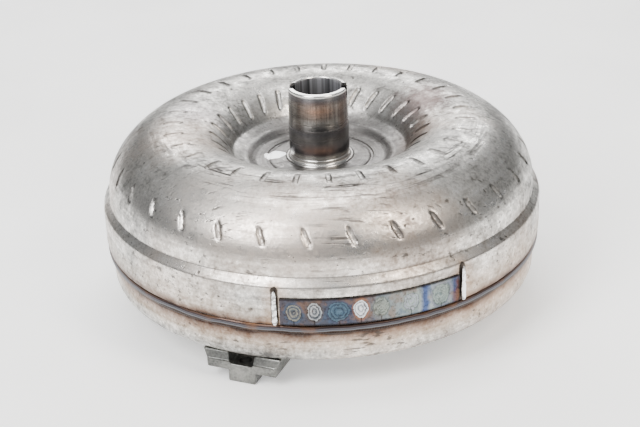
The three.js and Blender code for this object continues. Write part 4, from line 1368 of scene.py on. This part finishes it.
@dataclass
class BalanceStrip:
    """The bent strip spot-welded round the belt, and the bead run down each of its ends."""

    node: str = "balance_strip"
    bead_node: str = "strip_weld"
    body: str = "housing"
    inner: float = 156.3
    thickness: float = 1.0
    bottom: float = 53.0
    top: float = 72.0
    start: float = -100.9
    end: float = -56.4
    steps: int = 240
    spots: tuple[SpotWeld, ...] = TemperedStrip.spots
    spot_sink: float = 0.22
    bead_half_height: float = 12.5
    bead_half_width: float = 2.0
    bead_depth: float = 1.4
    bead_offset: float = 1.2

    def strip(self) -> bpy.types.Object:
        """Spins the strip's section through its arc and dimples its spot welds.

        Returns:
            The strip.
        """
        outer = self.inner + self.thickness
        profile = [(self.inner, self.bottom), (outer - 0.3, self.bottom), (outer, self.bottom + 0.3)]
        profile += [(outer, h) for h in np.linspace(self.bottom + 0.8, self.top - 0.8, 24)]
        profile += [(outer, self.top - 0.3), (outer - 0.3, self.top), (self.inner, self.top)]
        piece = spin_profile(self.node + "_fine", profile, self.steps, self.end - self.start)
        places = vertex_places(piece) / MM
        azimuth = np.degrees(np.arctan2(places[:, 1], places[:, 0]))
        aim = self.start if abs(azimuth).max() < 90 and azimuth.max() > 1 else self.end
        turn_about_axis(piece, aim)
        places = vertex_places(piece) / MM
        radius = np.hypot(places[:, 0], places[:, 1])
        azimuth = np.degrees(np.arctan2(places[:, 1], places[:, 0]))
        sunk = np.zeros(len(places))
        for spot in self.spots:
            across = np.radians(azimuth - spot.azimuth) * outer
            away = np.hypot(across / spot.half_width, (places[:, 2] - spot.height) / spot.half_height)
            sunk = np.maximum(sunk, self.spot_sink * np.clip(1 - (away / 0.8) ** 6, 0, 1))
        sculpt(piece, -np.where(radius > outer - 0.1, sunk, 0) * MM)
        return stand_in(piece, self.node, self.body)

    def beads(self) -> list[bpy.types.Object]:
        """Shapes both end beads, fuller at the bottom where the run ended.

        Returns:
            The beads.
        """
        pieces = []
        middle = self.bottom + self.bead_half_height - 0.3
        for number, azimuth in enumerate((self.start - self.bead_offset, self.end + self.bead_offset), 1):
            deselect()
            bpy.ops.mesh.primitive_uv_sphere_add(segments=40, ring_count=32, radius=1)
            piece = bpy.context.object
            piece.name = piece.data.name = f"{self.bead_node}_{number}_fine"
            for vertex in piece.data.vertices:
                x, y, z = vertex.co
                full = math.sqrt(1 - abs(z) ** 7) / max(math.sqrt(1 - z * z), 1e-3) if abs(z) < 1 else 0
                slim = full * (0.8 - 0.2 * z + 0.07 * math.sin(z * 9 + number * 2))
                vertex.co = (self.bead_depth * x * slim * MM, self.bead_half_width * y * slim * MM,
                             self.bead_half_height * z * MM)
            piece.location = ((self.inner + self.bead_depth) * MM, 0, middle * MM)
            turn_about_axis(settle(piece), azimuth)
            pieces.append(stand_in(piece, f"{self.bead_node}_{number}", self.body, 60))
        return pieces


@dataclass
class DriveLug:
    """A T-shaped forging with a window over its tapped pad."""

    node: str
    azimuth: float
    body: str = "housing"
    face_radius: float = 148.4
    depth: float = 26.0
    half_width: float = 25.0
    flare: float = 3.0
    wing_bottom: float = 8.4
    bevel_height: float = 15.1
    bevel_angle: float = 16.0
    stem: float = 9.7
    window: float = 7.8
    window_flare: float = 1.7
    sill: float = 13.1
    top: float = 21.2
    bolt_circle: float = 140.5
    hole: float = 4.25

    def build(self) -> bpy.types.Object:
        """Extrudes the T, cuts its sloped brow and its hole, and rounds its edges.

        Returns:
            The lug.
        """
        half = [(self.stem, 0), (self.stem, self.wing_bottom), (self.half_width, self.wing_bottom),
                (self.half_width, self.bevel_height), (self.half_width + self.flare, self.top),
                (self.window + self.window_flare, self.top), (self.window, self.sill)]
        outline = half + [(-x, y) for x, y in reversed(half)]
        piece = raise_block(self.node + "_fine", outline, self.depth)
        piece.location.x = (self.face_radius - self.depth) * MM
        settle(piece)
        bpy.ops.mesh.primitive_cube_add(size=1)
        brow = bpy.context.object
        brow.scale = (6 * MM, 4 * self.half_width * MM, 30 * MM)
        settle(brow)
        turn = Matrix.Rotation(-math.radians(self.bevel_angle), 4, "Y")
        brow.matrix_world = (Matrix.Translation((self.face_radius * MM, 0, self.bevel_height * MM)) @ turn
                             @ Matrix.Translation((3 * MM, 0, 15 * MM)))
        cut_away(piece, settle(brow))
        finish_modifier(piece, "BEVEL", width=1.1 * MM, segments=3, limit_method="ANGLE",
                        angle_limit=math.radians(30), harden_normals=False)
        deselect()
        bpy.ops.mesh.primitive_cylinder_add(vertices=64, radius=self.hole * MM, depth=40 * MM,
                                            location=(self.bolt_circle * MM, 0, 0))
        cut_away(piece, settle(bpy.context.object))
        turn_about_axis(piece, self.azimuth)
        return stand_in(piece, self.node, self.body)


# ---- The scene ----------------------------------------------------------------------------------

FINISHES: dict[str, PlainMetal | DrawnSteel | GroundHubSteel | WeldBead | TemperedStrip | EndBead
               | Friction] = {
    # Deep-drawn mild steel, bare and oiled, heat-tinted by the seam weld.
    "shell_steel": DrawnSteel(),
    # Mild steel strip and pressings inside the converter, wet with transmission fluid.
    "vane_steel": PlainMetal("pressed_mild_steel_oiled", "A8A196", "6E675C", 0.4, 2.0),
    # Medium-carbon steel, induction hardened and ground.
    "ground_steel": GroundHubSteel(),
    # Metal active gas weld bead.
    "weld_bead": WeldBead(),
    # Mild steel spot-welded strip with temper colours.
    "tempered_strip": TemperedStrip(),
    # Carbon steel forging, shot-blasted, with a thin oxide.
    "forged_steel": PlainMetal("forged_steel_blasted", "8E8E8A", "4C4D4C", 0.4, 1.6, 0.5,
                               Surface.FORGED),
    # Resin-bonded paper on the lock-up piston.
    "friction_paper": Friction("friction_paper_bonded", "5B4330", "2E2118", 0.6, 0.95),
    # Filled PTFE piston seal.
    "seal_polymer": Friction("ptfe_seal_filled", "3A3D39", "20221F", 0.8, 0.6),
    # Oil-tempered spring wire.
    "spring_steel": PlainMetal("spring_wire_oil_tempered", "6A6E75", "43464B", 0.34, 0.8),
    # Sintered bronze thrust washers.
    "bronze": PlainMetal("sintered_bronze", "C08F58", "8A6437", 0.4, 0.5, 0.3),
    # Through-hardened bearing steel, ground.
    "bearing_steel": PlainMetal("bearing_steel_ground", "D4D7DB", "A5A9AE", 0.2, 0.4, 0.1,
                                Surface.TURNED),
    # Pressure die-cast aluminium.
    "cast_aluminium": PlainMetal("aluminium_die_cast", "D0D2D4", "9EA1A4", 0.48, 1.2, 0.3),
}


@dataclass(frozen=True)
class Softbox:
    """One soft rectangular light."""

    name: str
    place: tuple[float, float, float]
    aim: tuple[float, float, float]
    size: tuple[float, float]
    power: float
    tint: str = "FFFFFF"

    def build(self) -> None:
        """Hangs the light."""
        lamp = bpy.data.lights.new(self.name, "AREA")
        lamp.shape = "RECTANGLE"
        lamp.size, lamp.size_y = self.size
        lamp.energy = self.power
        lamp.color = linear(self.tint)[:3]
        holder = bpy.data.objects.new(self.name, lamp)
        bpy.context.scene.collection.objects.link(holder)
        holder.location = self.place
        heading = Vector(self.aim) - Vector(self.place)
        holder.rotation_euler = heading.to_track_quat("-Z", "Y").to_euler()


@dataclass(frozen=True)
class Studio:
    """Pale floor, even grey surroundings, soft lights and the camera."""

    floor_size: float = 8.0
    floor_light: str = "FBFBFA"
    floor_dark: str = "F4F4F3"
    floor_glow: float = 0.5
    world_low: str = "5A5C5E"
    world_high: str = "C8CACC"
    world_strength: float = 1.0
    lights: tuple[Softbox, ...] = (
        Softbox("left", (-0.95, -1.0, 1.45), (0, 0, 0.1), (0.8, 1.0), 44),
        Softbox("right", (0.95, -0.85, 1.45), (0, 0, 0.08), (0.5, 1.0), 22, "FFF6EA"),
        Softbox("top", (-0.1, 0.2, 1.9), (0, 0, 0.1), (1.3, 0.8), 26),
        Softbox("back", (0.1, 1.7, 1.1), (0, 0, 0.1), (1.8, 0.7), 26),
    )
    eye: tuple[float, float, float] = (-0.0016, -1.0040, 0.5410)
    target: tuple[float, float, float] = (-0.0016, 0.0, 0.0565)
    roll: float = -2.1736
    lens: float = 86.16
    sensor: float = 36.0

    def build(self) -> None:
        """Sets the stage."""
        self._floor()
        self._world()
        for light in self.lights:
            light.build()
        self._camera()

    def _floor(self) -> None:
        """Lays the floor that the converter stands on."""
        deselect()
        bpy.ops.mesh.primitive_plane_add(size=self.floor_size, location=(0, 0, 0))
        floor = bpy.context.object
        floor.name = "floor"
        settle(floor)
        weave = Weave("studio_floor_matt_board")
        point = weave.add("TexCoord", "Object")
        grain = weave.noise(point, 6.0, 3.0)
        colour = weave.ramp(grain, [(0.4, self.floor_dark), (0.6, self.floor_light)])
        floor.data.materials.append(weave.close(colour, 0.9, metal=0.0, Emission_Color=linear("FFFFFF"),
                                                Emission_Strength=self.floor_glow))

    def _world(self) -> None:
        """Lights the surroundings evenly."""
        world = bpy.data.worlds.new("even_room")
        world.use_nodes = True
        nodes, links = world.node_tree.nodes, world.node_tree.links
        split = nodes.new("ShaderNodeSeparateXYZ")
        links.new(nodes.new("ShaderNodeTexCoord").outputs["Generated"], split.inputs[0])
        ramp = nodes.new("ShaderNodeValToRGB")
        ramp.color_ramp.elements[0].color = linear(self.world_low)
        ramp.color_ramp.elements[1].color = linear(self.world_high)
        ramp.color_ramp.elements[1].position = 0.75
        links.new(split.outputs[2], ramp.inputs["Fac"])
        links.new(ramp.outputs["Color"], nodes["Background"].inputs["Color"])
        nodes["Background"].inputs["Strength"].default_value = self.world_strength
        bpy.context.scene.world = world

    def _camera(self) -> None:
        """Places the camera at the photo's angle, rolled a little as the photo is."""
        data = bpy.data.cameras.new("photo_camera")
        data.lens = self.lens
        data.sensor_width = self.sensor
        holder = bpy.data.objects.new("photo_camera", data)
        bpy.context.scene.collection.objects.link(holder)
        ahead = (Vector(self.target) - Vector(self.eye)).normalized()
        right0 = ahead.cross(Vector((0, 0, 1))).normalized()
        up0 = right0.cross(ahead)
        turn = math.radians(self.roll)
        right = right0 * math.cos(turn) + up0 * math.sin(turn)
        up = up0 * math.cos(turn) - right0 * math.sin(turn)
        frame_axes = Matrix((right, up, -ahead)).transposed().to_4x4()
        holder.matrix_world = Matrix.Translation(Vector(self.eye)) @ frame_axes
        bpy.context.scene.camera = holder


def dress(piece: bpy.types.Object, material: bpy.types.Material) -> None:
    """Gives a piece one finish.

    Args:
        piece: The object.
        material: The finish.
    """
    piece.data.materials.clear()
    piece.data.materials.append(material)


def main() -> None:
    """Builds the converter's looks and its studio."""
    logging.basicConfig(level=logging.INFO, format="%(name)s: %(message)s")
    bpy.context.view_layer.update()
    materials = {slot: finish.build() for slot, finish in FINISHES.items()}
    for part in frame["record"]["subparts"]:
        node = frame["nodes"][part["node"]]
        node.data.materials.clear()
        node.data.materials.append(materials[part["material_slot"]])
    strip = BalanceStrip()
    lugs = [DriveLug(f"drive_lug_{k + 1}", -112.8 + 120 * k) for k in range(3)]
    pieces = [(ImpellerShell().build(), "shell_steel"), (FrontCover().build(), "shell_steel"),
              (PumpHub().build(), "ground_steel"), (CrankPilot().build(), "ground_steel"),
              (SeamWeld().build(), "weld_bead"), (strip.strip(), "tempered_strip")]
    pieces += [(bead, "weld_bead") for bead in strip.beads()]
    pieces += [(lug.build(), "forged_steel") for lug in lugs]
    bead_metal = EndBead().build()
    for piece, slot in pieces:
        # The strip's end beads take their own material, with its painted highlight.
        is_end_bead = piece.name.startswith(strip.bead_node)
        dress(piece, bead_metal if is_end_bead else materials[slot])
        log.info("%s: %d faces", piece.name, len(piece.data.polygons))
    Studio().build()


if __name__ == "__main__":
    main()
